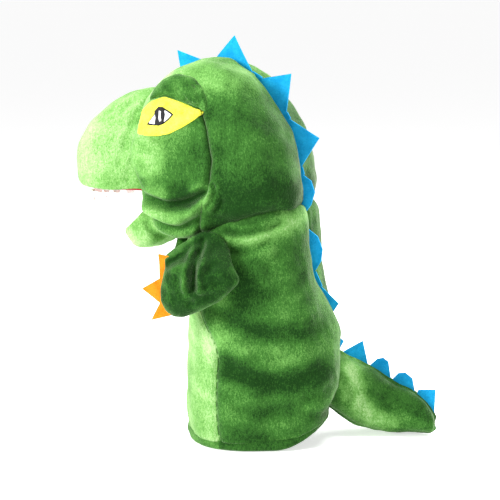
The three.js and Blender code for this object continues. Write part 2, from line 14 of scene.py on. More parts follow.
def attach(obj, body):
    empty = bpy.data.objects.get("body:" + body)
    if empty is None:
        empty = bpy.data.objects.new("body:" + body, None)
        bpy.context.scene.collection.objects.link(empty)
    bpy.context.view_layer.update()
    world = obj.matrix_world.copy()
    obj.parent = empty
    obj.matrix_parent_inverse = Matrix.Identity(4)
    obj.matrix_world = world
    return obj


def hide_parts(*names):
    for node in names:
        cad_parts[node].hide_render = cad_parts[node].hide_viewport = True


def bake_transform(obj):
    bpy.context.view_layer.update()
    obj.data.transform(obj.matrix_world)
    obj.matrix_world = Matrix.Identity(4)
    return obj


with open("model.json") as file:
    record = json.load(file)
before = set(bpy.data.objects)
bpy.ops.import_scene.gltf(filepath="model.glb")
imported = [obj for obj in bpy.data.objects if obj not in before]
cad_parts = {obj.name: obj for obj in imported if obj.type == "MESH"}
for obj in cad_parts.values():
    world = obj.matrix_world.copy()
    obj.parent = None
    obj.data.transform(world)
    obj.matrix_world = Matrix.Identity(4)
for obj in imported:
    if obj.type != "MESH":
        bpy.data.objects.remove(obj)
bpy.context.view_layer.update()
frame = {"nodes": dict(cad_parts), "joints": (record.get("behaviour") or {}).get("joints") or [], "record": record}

JOINTS = {joint["name"]: joint for joint in frame["joints"]}
NECK = 1000 * np.array(JOINTS["neck_turn"]["pos_m"])
NECK[2] = 0
HEAD_AXIS = JOINTS["head_nod"]["axis"]
HEAD_TURN = math.atan2(HEAD_AXIS[1], HEAD_AXIS[0])
JAW_DROOP = math.radians(38)

scene = bpy.context.scene


# ---- frames

def turned(points, angle):
    """Points turned about Z, by one angle or by an angle for each point."""
    c, s = np.cos(angle), np.sin(angle)
    x, y, z = np.moveaxis(points, -1, 0)
    return np.stack([c * x - s * y, s * x + c * y, z], axis=-1)


def body_place(points):
    """Drawing frame, with the body facing -Y, to the row frame in metres."""
    return (np.asarray(points, float) + NECK) / 1000


def head_place(points):
    """The head's own frame, turned about the neck, to the row frame in metres."""
    return body_place(turned(np.asarray(points, float), HEAD_TURN))


def unplaced(point):
    """A row point in metres, back to the head's own frame in millimetres."""
    return turned(1000 * np.asarray(point, float) - NECK, -HEAD_TURN)


JAW_HINGE = unplaced(JOINTS["lower_jaw_drop"]["pos_m"])


def jaw_place(points):
    """The lower jaw, drawn shut from its hinge, to the row frame."""
    p = np.asarray(points, float)
    c, s = math.cos(JAW_DROOP), math.sin(JAW_DROOP)
    x, y, z = p[..., 0], p[..., 1], p[..., 2]
    dropped = np.stack([x, c * y - s * z, s * y + c * z], axis=-1)
    return head_place(dropped + JAW_HINGE)


# ---- curves and noise

def smooth(table, column, at):
    """A smooth curve through one column of a level table, whose first column is the position."""
    rows = sorted(table)
    x = np.array([row[0] for row in rows], float)
    y = np.array([row[column] for row in rows], float)
    steps = np.diff(y) / np.diff(x)
    slope = np.concatenate([[steps[0]], (steps[:-1] + steps[1:]) / 2, [steps[-1]]])
    turning = steps[:-1] * steps[1:] <= 0
    slope[1:-1][turning] = 0
    at = np.clip(np.asarray(at, float), x[0], x[-1])
    k = np.clip(np.searchsorted(x, at) - 1, 0, len(x) - 2)
    h = x[k + 1] - x[k]
    t = (at - x[k]) / h
    return ((1 + 2 * t) * (1 - t) ** 2 * y[k] + t * (1 - t) ** 2 * h * slope[k]
            + t * t * (3 - 2 * t) * y[k + 1] + t * t * (t - 1) * h * slope[k + 1])


def ease(t):
    t = np.clip(t, 0, 1)
    return t * t * (3 - 2 * t)


def bell(distance, width):
    return np.exp(-(distance / width) ** 2)


def oval(angle, half_width, half_depth, square):
    """A point on a rounded box section; square may differ round the section."""
    c, s = np.cos(angle), np.sin(angle)
    return (np.sign(c) * np.abs(c) ** (2 / square) * half_width,
            np.sign(s) * np.abs(s) ** (2 / square) * half_depth)


def even_ring(x, y, count):
    """The closed ring through x, y, resampled at equal steps."""
    px, py = np.append(x, x[0]), np.append(y, y[0])
    run = np.concatenate([[0], np.cumsum(np.hypot(np.diff(px), np.diff(py)))])
    at = np.arange(count) / count * run[-1]
    return np.interp(at, run, px), np.interp(at, run, py)


def relieved(grid, out):
    """A form's grid, whose columns close into rings, with each point moved out along its normal."""
    along = np.roll(grid, -1, 1) - np.roll(grid, 1, 1)
    normal = np.cross(along, np.gradient(grid, axis=0))
    normal /= np.maximum(np.linalg.norm(normal, axis=-1, keepdims=True), 1e-9)
    return grid + normal * out[..., None]


def lumps(points, size, seed):
    """Smooth pseudo-random values from -1 to 1, from a few crossing waves of about the given size."""
    rng = np.random.default_rng(seed)
    total = np.zeros(points.shape[:-1])
    for _ in range(7):
        direction = rng.normal(size=3)
        direction /= np.linalg.norm(direction)
        wave = rng.uniform(0.7, 1.5) * 2 * math.pi / size
        total += np.sin(points @ direction * wave + rng.uniform(0, 2 * math.pi))
    return total / 3.5


def line_distance(a, b, path):
    """Distance in a plane from points (a, b) to a polyline, and how far along it the nearest point is."""
    best = np.full(np.shape(a), 1e9)
    where = np.zeros(np.shape(a))
    path = np.array(path, float)
    for i in range(len(path) - 1):
        (x0, y0), (x1, y1) = path[i], path[i + 1]
        dx, dy = x1 - x0, y1 - y0
        t = np.clip(((a - x0) * dx + (b - y0) * dy) / (dx * dx + dy * dy), 0, 1)
        d = np.hypot(a - x0 - t * dx, b - y0 - t * dy)
        closer = d < best
        best = np.where(closer, d, best)
        where = np.where(closer, (i + t) / (len(path) - 1), where)
    return best, where


def rounded(path, rounds=3):
    """The polyline with its corners cut, so that it bends smoothly."""
    p = np.array(path, float)
    for _ in range(rounds):
        q, r = 0.75 * p[:-1] + 0.25 * p[1:], 0.25 * p[:-1] + 0.75 * p[1:]
        p = np.concatenate([p[:1], np.stack([q, r], 1).reshape(-1, p.shape[1]), p[-1:]])
    return p


def fold(a, b, path, depth, width, ridge=0.35):
    """A crease along a path: a valley with a low ridge on each side, fading at both ends."""
    distance, along = line_distance(a, b, rounded(path))
    fade = ease(along * 5) * ease((1 - along) * 5)
    return fade * depth * (-bell(distance, width) + ridge * bell(distance - 2.1 * width, width))


def creases(a, b, folds):
    """Several folds together, each given by its path, depth, width and perhaps its ridge."""
    return sum(fold(a, b, *one) for one in folds)


def painted_bands(a, b, bands):
    """How much light is painted near several lines, or shade where the amount is below zero: each line is given by
    its path, amount and width.
    """
    return sum(amount * bell(line_distance(a, b, rounded(path))[0], width) for path, amount, width in bands)


# ---- meshes

def make_object(name, vertices, faces, slot=None):
    mesh = bpy.data.meshes.new(name)
    mesh.from_pydata([tuple(v) for v in vertices], [], [tuple(f) for f in faces])
    mesh.validate()
    mesh.update()
    mesh.polygons.foreach_set("use_smooth", [True] * len(mesh.polygons))
    piece = bpy.data.objects.new(name, mesh)
    scene.collection.objects.link(piece)
    if slot:
        mesh.materials.append(SLOT_LOOKS[slot])
    return piece


def grid_faces(rows, columns, keep=None):
    """The cells of a grid whose columns close into rings, or only those that keep marks."""
    faces = []
    for r in range(rows - 1):
        for c in range(columns):
            d = (c + 1) % columns
            if keep is None or keep[r, c]:
                faces.append((r * columns + c, r * columns + d, (r + 1) * columns + d, (r + 1) * columns + c))
    return faces


def cells(grid):
    """The row and the column of every cell of a grid."""
    return np.indices((grid.shape[0] - 1, grid.shape[1]))


def capped(grid, tone_and_painted_light, tip_painted_light):
    """The grid with its last section drawn in to a point, and the painted light and shade to match."""
    tip = grid[-1:].mean(1, keepdims=True) + 0 * grid[-1:]
    tip_row = np.full((1, tone_and_painted_light.shape[1]), tip_painted_light)
    return np.concatenate([grid, tip]), np.concatenate([np.clip(tone_and_painted_light, 0, 1), tip_row])


# ---- materials

def add_node(tree, kind, **sockets):
    """A new node with its sockets set; an underscore in a name stands for a space."""
    return set_sockets(tree.nodes.new("ShaderNode" + kind), **sockets)


def set_sockets(node, **sockets):
    for name, value in sockets.items():
        node.inputs[name.replace("_", " ")].default_value = value
    return node


def shader(name, roughness=0.9, sheen=0.0, sheen_roughness=0.5, tint=(1, 1, 1)):
    material = bpy.data.materials.new(name)
    material.use_nodes = True
    bsdf = material.node_tree.nodes["Principled BSDF"]
    set_sockets(bsdf, Roughness=roughness, Specular_IOR_Level=0.1, Sheen_Weight=sheen,
                Sheen_Roughness=sheen_roughness, Sheen_Tint=(*tint, 1))
    return material, material.node_tree, bsdf


def noise(tree, scale, stretch=(1, 1, 1), detail=2.0, roughness=0.5, distortion=0.0):
    """Noise with about that many lumps to a metre, stretched along the object's own axes."""
    place = add_node(tree, "TexCoord")
    mapping = add_node(tree, "Mapping", Scale=stretch)
    texture = add_node(tree, "TexNoise", Scale=scale, Detail=detail, Roughness=roughness,
                       Distortion=distortion)
    tree.links.new(place.outputs["Object"], mapping.inputs["Vector"])
    tree.links.new(mapping.outputs["Vector"], texture.inputs["Vector"])
    return texture.outputs["Fac"]


def maths(tree, operation, *values, clamp=False):
    node = add_node(tree, "Math")
    node.operation = operation
    node.use_clamp = clamp
    for socket, value in zip(node.inputs, values):
        if isinstance(value, bpy.types.NodeSocket):
            tree.links.new(value, socket)
        else:
            socket.default_value = value
    return node.outputs[0]


def ramp(tree, value, stops):
    node = add_node(tree, "ValToRGB")
    elements = node.color_ramp.elements
    while len(elements) < len(stops):
        elements.new(0.5)
    for element, (position, colour) in zip(elements, stops):
        element.position = position
        element.color = (*colour, 1)
    tree.links.new(value, node.inputs["Fac"])
    return node.outputs["Color"]


def bump(tree, bsdf, height, distance, strength=1.0):
    node = add_node(tree, "Bump", Strength=strength, Distance=distance)
    tree.links.new(height, node.inputs["Height"])
    tree.links.new(node.outputs["Normal"], bsdf.inputs["Normal"])


# Painted light and shade on the plush: where the painted light value stands and what colour the pile is given
# there, from shaded dark to lit pale
PLUSH_SHADED_TO_LIT = [
    (0.0, (0.006, 0.036, 0.004)), (0.33, (0.036, 0.135, 0.019)),
    (0.66, (0.140, 0.345, 0.074)), (1.0, (0.400, 0.600, 0.265)),
]


def plush():
    """Short-pile plush whose point attribute paints light and shade on the pile, from 0 shaded dark to 1 lit pale,
    with random mottle and fibres added by noise.
    """
    material, tree, bsdf = shader("plush", 0.95, 0.34, 0.36, (0.78, 1.0, 0.62))
    attribute = add_node(tree, "Attribute")
    attribute.attribute_name = "tone_and_painted_light"
    mottle = noise(tree, 110, (1, 1, 1.4), 2.0, 0.5, 0.6)
    clumps = noise(tree, 820, (1, 1, 0.55), 1.0, 0.5, 0.5)
    fibres = noise(tree, 1900, (1, 1, 0.6), 1.0, 0.6)
    tone_and_painted_light = attribute.outputs["Fac"]
    for pattern, amount in ((mottle, 0.12), (clumps, 0.42), (fibres, 0.6)):
        tone_and_painted_light = maths(tree, "MULTIPLY_ADD", maths(tree, "SUBTRACT", pattern, 0.5), amount, tone_and_painted_light,
                    clamp=pattern == fibres)
    tree.links.new(ramp(tree, tone_and_painted_light, PLUSH_SHADED_TO_LIT), bsdf.inputs["Base Color"])
    height = maths(tree, "MULTIPLY_ADD", fibres, 0.55, maths(tree, "MULTIPLY", clumps, 0.6))
    bump(tree, bsdf, height, 0.0008, 0.75)
    return material


def felt(name, dark, light, sheen):
    material, tree, bsdf = shader(name, 0.95, sheen, 0.5, light)
    fibres = noise(tree, 900, (1, 1, 1), 3.0, 0.7, 1.2)
    cloud = noise(tree, 160, (1, 1, 1), 2.0)
    mixed = maths(tree, "MULTIPLY_ADD", cloud, 0.4, maths(tree, "MULTIPLY", fibres, 0.6))
    tree.links.new(ramp(tree, mixed, [(0.36, dark), (0.64, light)]), bsdf.inputs["Base Color"])
    bump(tree, bsdf, fibres, 0.0004, 0.5)
    return material


def thread(name, colour, roughness):
    """Satin stitch: rows of thread about 0.4 mm apart."""
    material, tree, bsdf = shader(name, roughness)
    set_sockets(bsdf, Specular_IOR_Level=0.2, Base_Color=(*colour, 1))
    rows = noise(tree, 500, (0.2, 0.2, 5.0), 0.0)
    bump(tree, bsdf, rows, 0.0003, 0.6)
    return material


def cloth(name, colour):
    material, tree, bsdf = shader(name, 0.9, 0.1)
    weave = noise(tree, 1100, (1, 1, 1), 1.0)
    shade = tuple(0.7 * c for c in colour)
    tree.links.new(ramp(tree, weave, [(0.3, shade), (0.7, colour)]), bsdf.inputs["Base Color"])
    bump(tree, bsdf, weave, 0.0003, 0.4)
    return material


SLOT_LOOKS = {"green_plush": plush()}
for slot, dark, light, fuzz in (
    ("blue_felt", (0.004, 0.25, 0.56), (0.018, 0.42, 0.80), 0.25),
    ("orange_felt", (0.86, 0.15, 0.003), (0.90, 0.29, 0.02), 0.25),
    ("yellow_felt", (0.86, 0.80, 0.03), (0.98, 0.95, 0.12), 0.25),
    ("white_felt", (0.84, 0.84, 0.83), (0.93, 0.93, 0.92), 0.3),
):
    SLOT_LOOKS[slot] = felt(slot, dark, light, fuzz)
for slot, colour, roughness in (("white_thread", (0.86, 0.86, 0.86), 0.5),
                                ("black_thread", (0.006, 0.006, 0.008), 0.6)):
    SLOT_LOOKS[slot] = thread(slot, colour, roughness)
for slot, colour in (("red_lining", (0.52, 0.03, 0.03)), ("sleeve_cloth", (0.05, 0.19, 0.035)),
                     ("stuffing", (0.82, 0.82, 0.78)), ("mouth_board", (0.42, 0.31, 0.18))):
    SLOT_LOOKS[slot] = cloth(slot, colour)


# ---- sections round an upright form

def keyed_ring(shape, keys, counts):
    """Points round a section from key angle to key angle, evenly spaced between each two, so that a
    seam which crosses every section keeps to one column of the grid."""
    across, along = [], []
    for start, end, count in zip(keys, keys[1:] + [keys[0] + 2 * math.pi], counts):
        a, b = shape(np.linspace(start, end, 240))
        run = np.concatenate([[0], np.cumsum(np.hypot(np.diff(a), np.diff(b)))])
        at = np.arange(count) / count * run[-1]
        across.append(np.interp(at, run, a))
        along.append(np.interp(at, run, b))
    return np.concatenate(across), np.concatenate(along)


def even_levels(table, columns, step):
    """Positions along a form, about step millimetres apart on its steepest side."""
    low, high = table[0][0], table[-1][0]
    dense = np.linspace(low, high, 3000)
    moves = [np.diff(dense)] + [np.diff(smooth(table, c, dense)) for c in columns]
    run = np.concatenate([[0], np.cumsum(np.sqrt(sum(m * m for m in moves)))])
    return np.interp(np.linspace(0, run[-1], int(run[-1] / step) + 1), run, dense)


def groove(distance, depth=1.7, width=1.5):
    """A sewn seam: a narrow valley, with the cloth a little puffed on both sides."""
    return -depth * bell(distance, width) + 0.25 * depth * bell(distance - 2.6 * width, 1.6 * width)


# ---- body

# Height, centre in Y, half width, half depth
BODY = [
    (5.5, 2.4, 49.6, 46.8), (20, 3.6, 52, 48.7), (53, 5, 53, 49.7), (70, 4.5, 53, 49.7), (80, 3, 52.5, 48.2),
    (90, 1.2, 51.5, 46.7), (98, 0, 50.5, 45.2), (107, -1.3, 49.5, 43.7), (121, -1.5, 47.5, 41.8),
    (134, -1.5, 44.5, 40), (139, -1.5, 42, 38.5), (142, -1.5, 39, 36), (144, -1.5, 33, 31),
]
BODY_SQUARE = 2.7
BELLY_HALF, BELLY_TOP_HALF = 42, 31
TWIST_LOW, TWIST_HIGH = 60, 125
NECK_CREASE, NECK_RISE = 143, 13.5
HEM_LIFT, HEM_TUCK = 15, 4
HEM_COLUMNS = 330
SIDE_COLUMNS, BELLY_COLUMNS = 118, 90
PLUSH_THICKNESS = 1.8


def twist_at(z):
    """The body's upper part turns with the head."""
    return HEAD_TURN * ease((np.asarray(z, float) - TWIST_LOW) / (TWIST_HIGH - TWIST_LOW))


def belly_half(z):
    return BELLY_HALF - (BELLY_HALF - BELLY_TOP_HALF) * ease((np.asarray(z) - TWIST_LOW) / 74)


def body_grid():
    rings = []
    for z in even_levels(BODY, (2, 3), 1.25):
        half_width, half_depth = smooth(BODY, 2, z), smooth(BODY, 3, z)
        corner = math.acos(min(belly_half(z) / half_width, 0.97) ** (BODY_SQUARE / 2))
        keys = [-corner, math.pi / 2, math.pi + corner]
        x, y = keyed_ring(lambda a: oval(a, half_width, half_depth, BODY_SQUARE), keys,
                          [SIDE_COLUMNS, SIDE_COLUMNS, BELLY_COLUMNS])
        rings.append(np.stack([x, y + smooth(BODY, 1, z), np.full_like(x, z)], -1))
    return np.array(rings)


def twisted(points):
    return turned(points, twist_at(points[..., 2]))


def raised(points, low, high):
    """Lifts the points between two heights towards the nape, where the neck's crease climbs."""
    y, z = points[..., 1], points[..., 2]
    share = ease((z - low) / (NECK_CREASE - low)) * (1 - ease((z - NECK_CREASE) / (high - NECK_CREASE)))
    lifted = points.copy()
    lifted[..., 2] += NECK_RISE * ease((y + 26) / 54) * share
    return lifted


# Each crease: its path in Y and height on the near side, depth and width
BODY_FOLDS = (
    ([(-44, 137), (-33, 131), (-22, 128), (-8, 131), (4, 136)], 2.4, 2.8),
    ([(-26, 142), (-16, 139), (-2, 142), (12, 147)], 2.0, 2.0),
    ([(-38, 134), (-31, 122), (-27, 108)], 1.3, 3.4),
    ([(-24, 134), (-12, 124), (4, 118)], 1.2, 4.0),
    ([(-36, 96), (-24, 84), (-8, 78), (14, 76), (36, 79)], 1.3, 4.8),
    ([(-33, 62), (-18, 50), (2, 45), (26, 47), (42, 55)], 1.7, 5.0),
    ([(-24, 31), (-6, 25), (18, 27)], 0.9, 4.2),
    ([(46, 44), (36, 37), (22, 35)], 1.3, 3.4),
    ([(47, 26), (37, 22), (26, 23)], 1.0, 3.0),
)
# Painted light along these lines, or painted shade where the amount is below zero: path, amount and width
BODY_PAINTED_LIGHT = (
    ([(-30, 74), (-12, 66), (10, 62), (38, 66)], 0.20, 7.0),
    ([(-20, 130), (-6, 136), (10, 143), (30, 150)], 0.42, 7.5),
    ([(8, 118), (12, 104), (10, 90)], 0.10, 9.0),
    ([(36, 120), (42, 104), (46, 84), (48, 62)], 0.20, 7.0),
    ([(-30, 103), (-31, 84), (-34, 66)], 0.16, 6.0),
    ([(-24, 22), (0, 17), (22, 19)], 0.12, 6.0),
    ([(-22, 122), (-16, 108), (-18, 94)], -0.22, 7.0),
    ([(-24, 54), (-6, 44), (18, 42), (36, 48)], -0.16, 7.0),
    ([(-24, 86), (0, 80), (26, 82)], -0.10, 6.0),
)


def body_relief(plain):
    """How far the cloth stands out from the plain form, and how much light or shade is painted on it."""
    x, y, z = np.moveaxis(plain, -1, 0)
    seat = twisted(plain)
    u, v = seat[..., 1], z
    near = seat[..., 0] > 5
    edge = np.abs(np.abs(x) - belly_half(z))
    out = groove(np.where(y > 0, np.abs(x), 99), 1.6, 1.8)
    out -= (1.0 + 3.0 * ease((z - 52) / 26)) * bell(np.where(y > 0, x, 99), 10)
    out += groove(np.where(y < 0, edge, 99), 1.6, 1.5)
    out += 1.3 * lumps(seat, 62, 3) + 0.7 * lumps(seat, 27, 4) + 0.25 * lumps(seat, 11, 5)
    tone_and_painted_light = 0.21 + 0.09 * lumps(seat, 34, 8) + 0.06 * lumps(seat, 15, 9)
    crease = creases(u, v, BODY_FOLDS)
    out += np.where(near, 1, 0.6) * crease
    # painted shade in the creases and painted light on their ridges
    tone_and_painted_light += np.where(near, 0.09, 0.04) * crease
    # painted light and shade in bands on the near side
    tone_and_painted_light += np.where(near, painted_bands(u, v, BODY_PAINTED_LIGHT), 0)
    # painted light on the belly panel, which faces the light
    belly = (y < 0) & (np.abs(x) < belly_half(z))
    tone_and_painted_light = np.where(belly, tone_and_painted_light + 0.52, tone_and_painted_light)
    return out, np.clip(tone_and_painted_light, 0, 1)


# Stores the painted light and shade, with random tone, as a point attribute of the piece.
def set_painted_light(piece, values):
    attribute = piece.data.attributes.new("tone_and_painted_light", "FLOAT", "POINT")
    attribute.data.foreach_set("value", np.asarray(values, np.float32).ravel())


def panel(name, grid, tone_and_painted_light, keep, place, nodes, thickness=PLUSH_THICKNESS, joint=None, body=None):
    """One plush panel cut out of a form's grid, with its painted light and shade, given thickness inwards."""
    faces = np.array(grid_faces(*grid.shape[:2], keep))
    used = np.unique(faces)
    index = np.full(grid.shape[0] * grid.shape[1], -1)
    index[used] = np.arange(len(used))
    piece = make_object(name, place(grid.reshape(-1, 3)[used]), index[faces].tolist(), "green_plush")
    set_painted_light(piece, tone_and_painted_light.reshape(-1)[used])
    if thickness:
        solid = piece.modifiers.new("thickness", "SOLIDIFY")
        solid.thickness = thickness / 1000
        solid.offset = -1
        apply_modifiers(piece)
    if joint:
        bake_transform(piece)
    else:
        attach(piece, body)
    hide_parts(*nodes)
    return piece


def apply_modifiers(piece):
    bpy.context.view_layer.update()
    graph = bpy.context.evaluated_depsgraph_get()
    old = piece.data
    mesh = bpy.data.meshes.new_from_object(piece.evaluated_get(graph), preserve_all_data_layers=True,
                                           depsgraph=graph)
    piece.modifiers.clear()
    piece.data = mesh
    bpy.data.meshes.remove(old)


def make_body():
    plain = raised(hem_lifted(body_grid()), 112, 200)
    out, tone_and_painted_light = body_relief(plain)
    grid = relieved(twisted(plain), out)
    _, column = cells(grid)
    waist = (body_place([0, 0, 127]), body_place([0, 0, 139]))
    parts = {
        "left_side": (column < SIDE_COLUMNS, ["left_side_panel"]),
        "right_side": ((column >= SIDE_COLUMNS) & (column < 2 * SIDE_COLUMNS), ["right_side_panel"]),
        "belly": (column >= 2 * SIDE_COLUMNS, ["belly_panel"]),
    }
    for name, (keep, nodes) in parts.items():
        panel(name, grid, tone_and_painted_light, keep, body_place, nodes, joint=("body", "neck", *waist))


def hem_lifted(points):
    """The hem stands off the table at the back, and is drawn in there a little."""
    y, z = points[..., 1], points[..., 2]
    low = 1 - ease(z / 45)
    moved = points.copy()
    moved[..., 1] = y - HEM_TUCK * ease((y - 10) / 40) * low
    moved[..., 2] = z + HEM_LIFT * ease((y - 4) / 52) * low
    return moved


def make_hem():
    """The folded edge: a rolled section carried round the foot of the body, a little wavy."""
    profile = [(-2.6, 8.0), (-1.0, 7.2), (0.3, 6.4), (0.9, 5.4), (1.2, 4.4), (1.4, 3.0), (1.2, 1.6),
               (0.3, 0.5), (-1.0, 0.05), (-2.4, 0.3), (-3.3, 1.4), (-3.5, 3.2), (-3.3, 5.4), (-3.0, 7.4)]
    angle = np.linspace(0, 2 * math.pi, 361)[:-1]
    x, y = even_ring(*oval(angle, 49.4, 46.4, BODY_SQUARE), HEM_COLUMNS)
    ring = np.stack([x, y + 2.4, 0 * x], -1)
    across = np.roll(ring, -1, 0) - np.roll(ring, 1, 0)
    outwards = np.stack([across[:, 1], -across[:, 0], 0 * x], -1)
    outwards /= np.linalg.norm(outwards, axis=1, keepdims=True)
    run = np.arange(HEM_COLUMNS) / HEM_COLUMNS * 2 * math.pi
    wave = 0.5 * np.sin(5 * run + 1) + 0.3 * np.sin(13 * run) + 0.15 * np.sin(31 * run)
    grid = np.array([ring + outwards * (d + 0.5 * wave[:, None]) + np.array([0, 0, z]) for d, z in profile])
    grid[..., 2] = np.maximum(grid[..., 2], 0)
    grid = hem_lifted(grid)
    belly = (np.abs(grid[..., 0]) < BELLY_HALF) & (grid[..., 1] < 0)
    # painted shade: the rolled hem is a little darker than the body, with painted light along the belly and random
    # mottle
    tone_and_painted_light = 0.16 + 0.08 * lumps(grid, 20, 21) + 0.25 * belly
    panel("hem", grid[::-1], tone_and_painted_light[::-1], None, body_place, ["bottom_hem"], thickness=0, body="body")


# ---- head

# Height, front, back, half width
HEAD = [
    (139.5, -42, 31, 39), (142, -48, 33.5, 42.5), (147, -57, 34.5, 46), (155, -65, 35, 49),
    (165, -69, 34.5, 50.5), (180, -75.5, 32.5, 50.5), (190, -77, 30, 50), (200, -75, 26.5, 48.5),
    (210, -71, 20.5, 46.5), (225, -65, 10, 42), (236, -54.5, 1, 36.5), (243, -45, -10.5, 28.5),
    (247, -35, -18.5, 14), (248.2, -30, -24, 3),
]
FACE_SQUARE, BACK_SQUARE, CROWN_SQUARE = 4.2, 3.6, 2.6
CHEEK_SEAM = [
    (139, -24), (150, -23), (166, -16.5), (186, -14.3), (204, -18.2), (223, -24.8), (232, -29), (250, -30),
]
CHEEK_TOP = 228
BACK_COLUMNS, CHEEK_COLUMNS = 84, 100


def cheek_seam(z):
    return np.interp(z, *np.transpose(CHEEK_SEAM))


def head_square(back, z):
    """How square the section is: less in front than at the back, and round at the crown."""
    square = np.where(back, BACK_SQUARE, FACE_SQUARE)
    return square + (CROWN_SQUARE - square) * ease((z - 232) / 14)


def head_grid():
    """The head's grid, and the height of each of its rows before it is shaped further."""
    rings = []
    levels = even_levels(HEAD, (1, 2, 3), 1.35)
    for z in levels:
        front, back, half_width = (float(smooth(HEAD, c, z)) for c in (1, 2, 3))
        centre, half_depth = (front + back) / 2, (back - front) / 2
        reach = np.clip((cheek_seam(z) - centre) / half_depth, -0.95, 0.95)
        seam = math.copysign(math.asin(abs(reach) ** (head_square(reach > 0, z) / 2)), reach)
        keys = [seam, math.pi / 2, math.pi - seam, 1.5 * math.pi]
        x, y = keyed_ring(lambda a: oval(a, half_width, half_depth, head_square(np.sin(a) > 0, z)), keys,
                          [BACK_COLUMNS, BACK_COLUMNS, CHEEK_COLUMNS, CHEEK_COLUMNS])
        rings.append(np.stack([x, y + centre, np.full_like(x, z)], -1))
    return np.array(rings), levels


# Each crease: its path in Y and height, depth, width and ridge
HEAD_FOLDS = (
    # the deep fold under the cheek, and the soft roll below it that runs into the throat
    ([(-15, 168), (-22, 163), (-31, 158), (-41, 156), (-50, 157), (-64, 162)], 4.6, 2.6, 0.5),
    ([(-22, 150), (-30, 145), (-38, 141), (-47, 142), (-56, 146), (-66, 150)], 3.2, 2.2, 0.4),
    # puckers at the seam's tuck
    ([(-14, 172), (-12, 166), (-14, 160), (-19, 156)], 2.4, 1.7, 0.7),
    ([(-9, 168), (-8, 160), (-13, 153)], 1.5, 2.0, 0.3),
    # across the neck
    ([(-12, 160), (0, 158), (14, 163), (24, 168)], 1.1, 3.4, 0.4),
    ([(-6, 166), (8, 165), (20, 168)], 0.8, 3.2, 0.4),
    # behind the snout
    ([(-64, 205), (-56, 199), (-47, 198)], 0.9, 2.2, 0.4),
    ([(-66, 184), (-57, 181), (-49, 184)], 0.8, 2.4, 0.4),
    ([(-64, 172), (-54, 170), (-44, 174)], 0.9, 2.4, 0.4),
)
CHEEK_ROLL = [(-16, 164), (-22, 156), (-31, 149.5), (-42, 148), (-54, 151), (-64, 155)]


def head_relief(plain):
    """How far the cloth stands out from the plain form, and how much light or shade is painted on it."""
    x, y, z = np.moveaxis(plain, -1, 0)
    side = np.abs(x)
    near = x > 3
    seam = np.abs(y - cheek_seam(z)) * 0.93
    low_fade = 1 - ease((z - CHEEK_TOP) / 5)
    out = groove(np.where(y > -45, side, 99), 1.6, 1.8)
    out -= (0.8 + 3.2 * (1 - ease((z - 166) / 40))) * bell(np.where(y > 0, x, 99), 10)
    out += groove(np.where(side > 20, seam, 99), 1.9, 1.4) * low_fade
    out += 1.2 * lumps(plain, 55, 31) + 0.6 * lumps(plain, 24, 32) + 0.22 * lumps(plain, 10, 33)
    tone_and_painted_light = 0.22 + 0.08 * lumps(plain, 30, 34) + 0.06 * lumps(plain, 13, 35)
    # painted light on the front and the crown of the head
    tone_and_painted_light += 0.13 * ease((-y - 18) / 30) + 0.34 * ease((z - 214) / 26)
    # painted light on the front of the cheek
    tone_and_painted_light += 0.30 * ease((-y - 42) / 12) * ease((z - 170) / 12)
    # painted shade low on the head behind the cheek
    tone_and_painted_light -= 0.28 * ease((184 - z) / 20) * ease((y + 20) / 14)
    crease = creases(y, z, HEAD_FOLDS)
    out += np.where(near, 1, 0.7) * crease * (side > 18)
    # painted shade in the creases and painted light on their ridges
    tone_and_painted_light += np.where(near, 0.07, 0.05) * crease
    hollow = bell(np.hypot((y + 34) / 1.25, z - 163.5), 7.5)
    # painted shade in the hollow under the cheek
    tone_and_painted_light -= 0.6 * hollow * (0.85 + 0.4 * lumps(plain, 9, 36))
    roll, _ = line_distance(y, z, rounded(CHEEK_ROLL))
    tuck = bell(np.hypot(y + 14.5, (z - 163) / 1.8), 2.6)
    out += (side > 18) * (1.8 * bell(roll, 6.0) + 1.8 * tuck - 3.4 * hollow)
    # painted light on the roll below the fold and on the tuck
    tone_and_painted_light += 0.22 * bell(roll, 6.5) + 0.12 * tuck
    return out, np.clip(tone_and_painted_light, 0, 1)


def jowled(points):
    """The front of the head's lower edge hangs down to the jaw and throat."""
    x, y, z = np.moveaxis(points, -1, 0)
    most = 4 + 4.5 * ease((x + 18) / 36)
    drop = most * ease((-y - 8) / 40) * (1 - ease((z - 142) / 26)) * ease((z - 138.5) / 4)
    return np.stack([x, y, z - drop], -1)


def make_head():
    plain, levels = head_grid()
    plain = raised(jowled(plain), 120, 186)
    out, tone_and_painted_light = head_relief(plain)
    grid = relieved(plain, out)
    row, column = cells(grid)
    x, y, z = np.moveaxis((grid[:-1] + grid[1:]) / 2, -1, 0)
    mouth = (np.abs(x) < 27) & (y < -45) & (z > 141) & (z < 172)
    above = levels[row] > CHEEK_TOP
    back = column // BACK_COLUMNS
    front_right = (back > 1) & (column < 2 * BACK_COLUMNS + CHEEK_COLUMNS)
    front_left = (back > 1) & ~front_right
    nape = (head_place([0, 0, 139]), head_place([0, 0, 152]))
    parts = {
        "left_hood": ((back == 0) | (front_left & above), ["left_hood_panel", "head_stuffing"]),
        "right_hood": ((back == 1) | (front_right & above), ["right_hood_panel"]),
        "left_cheek": (front_left & ~above & ~mouth, ["left_cheek_panel", "throat_panel"]),
        "right_cheek": (front_right & ~above & ~mouth, ["right_cheek_panel"]),
    }
    for name, (keep, nodes) in parts.items():
        panel(name, grid, tone_and_painted_light, keep, head_place, nodes, joint=("neck", "head", *nape))
    return grid


def surface_of(grid):
    """A search tree over a form's grid, in the form's own frame, for laying pieces on it."""
    return BVHTree.FromPolygons([tuple(p) for p in grid.reshape(-1, 3)], grid_faces(*grid.shape[:2]))


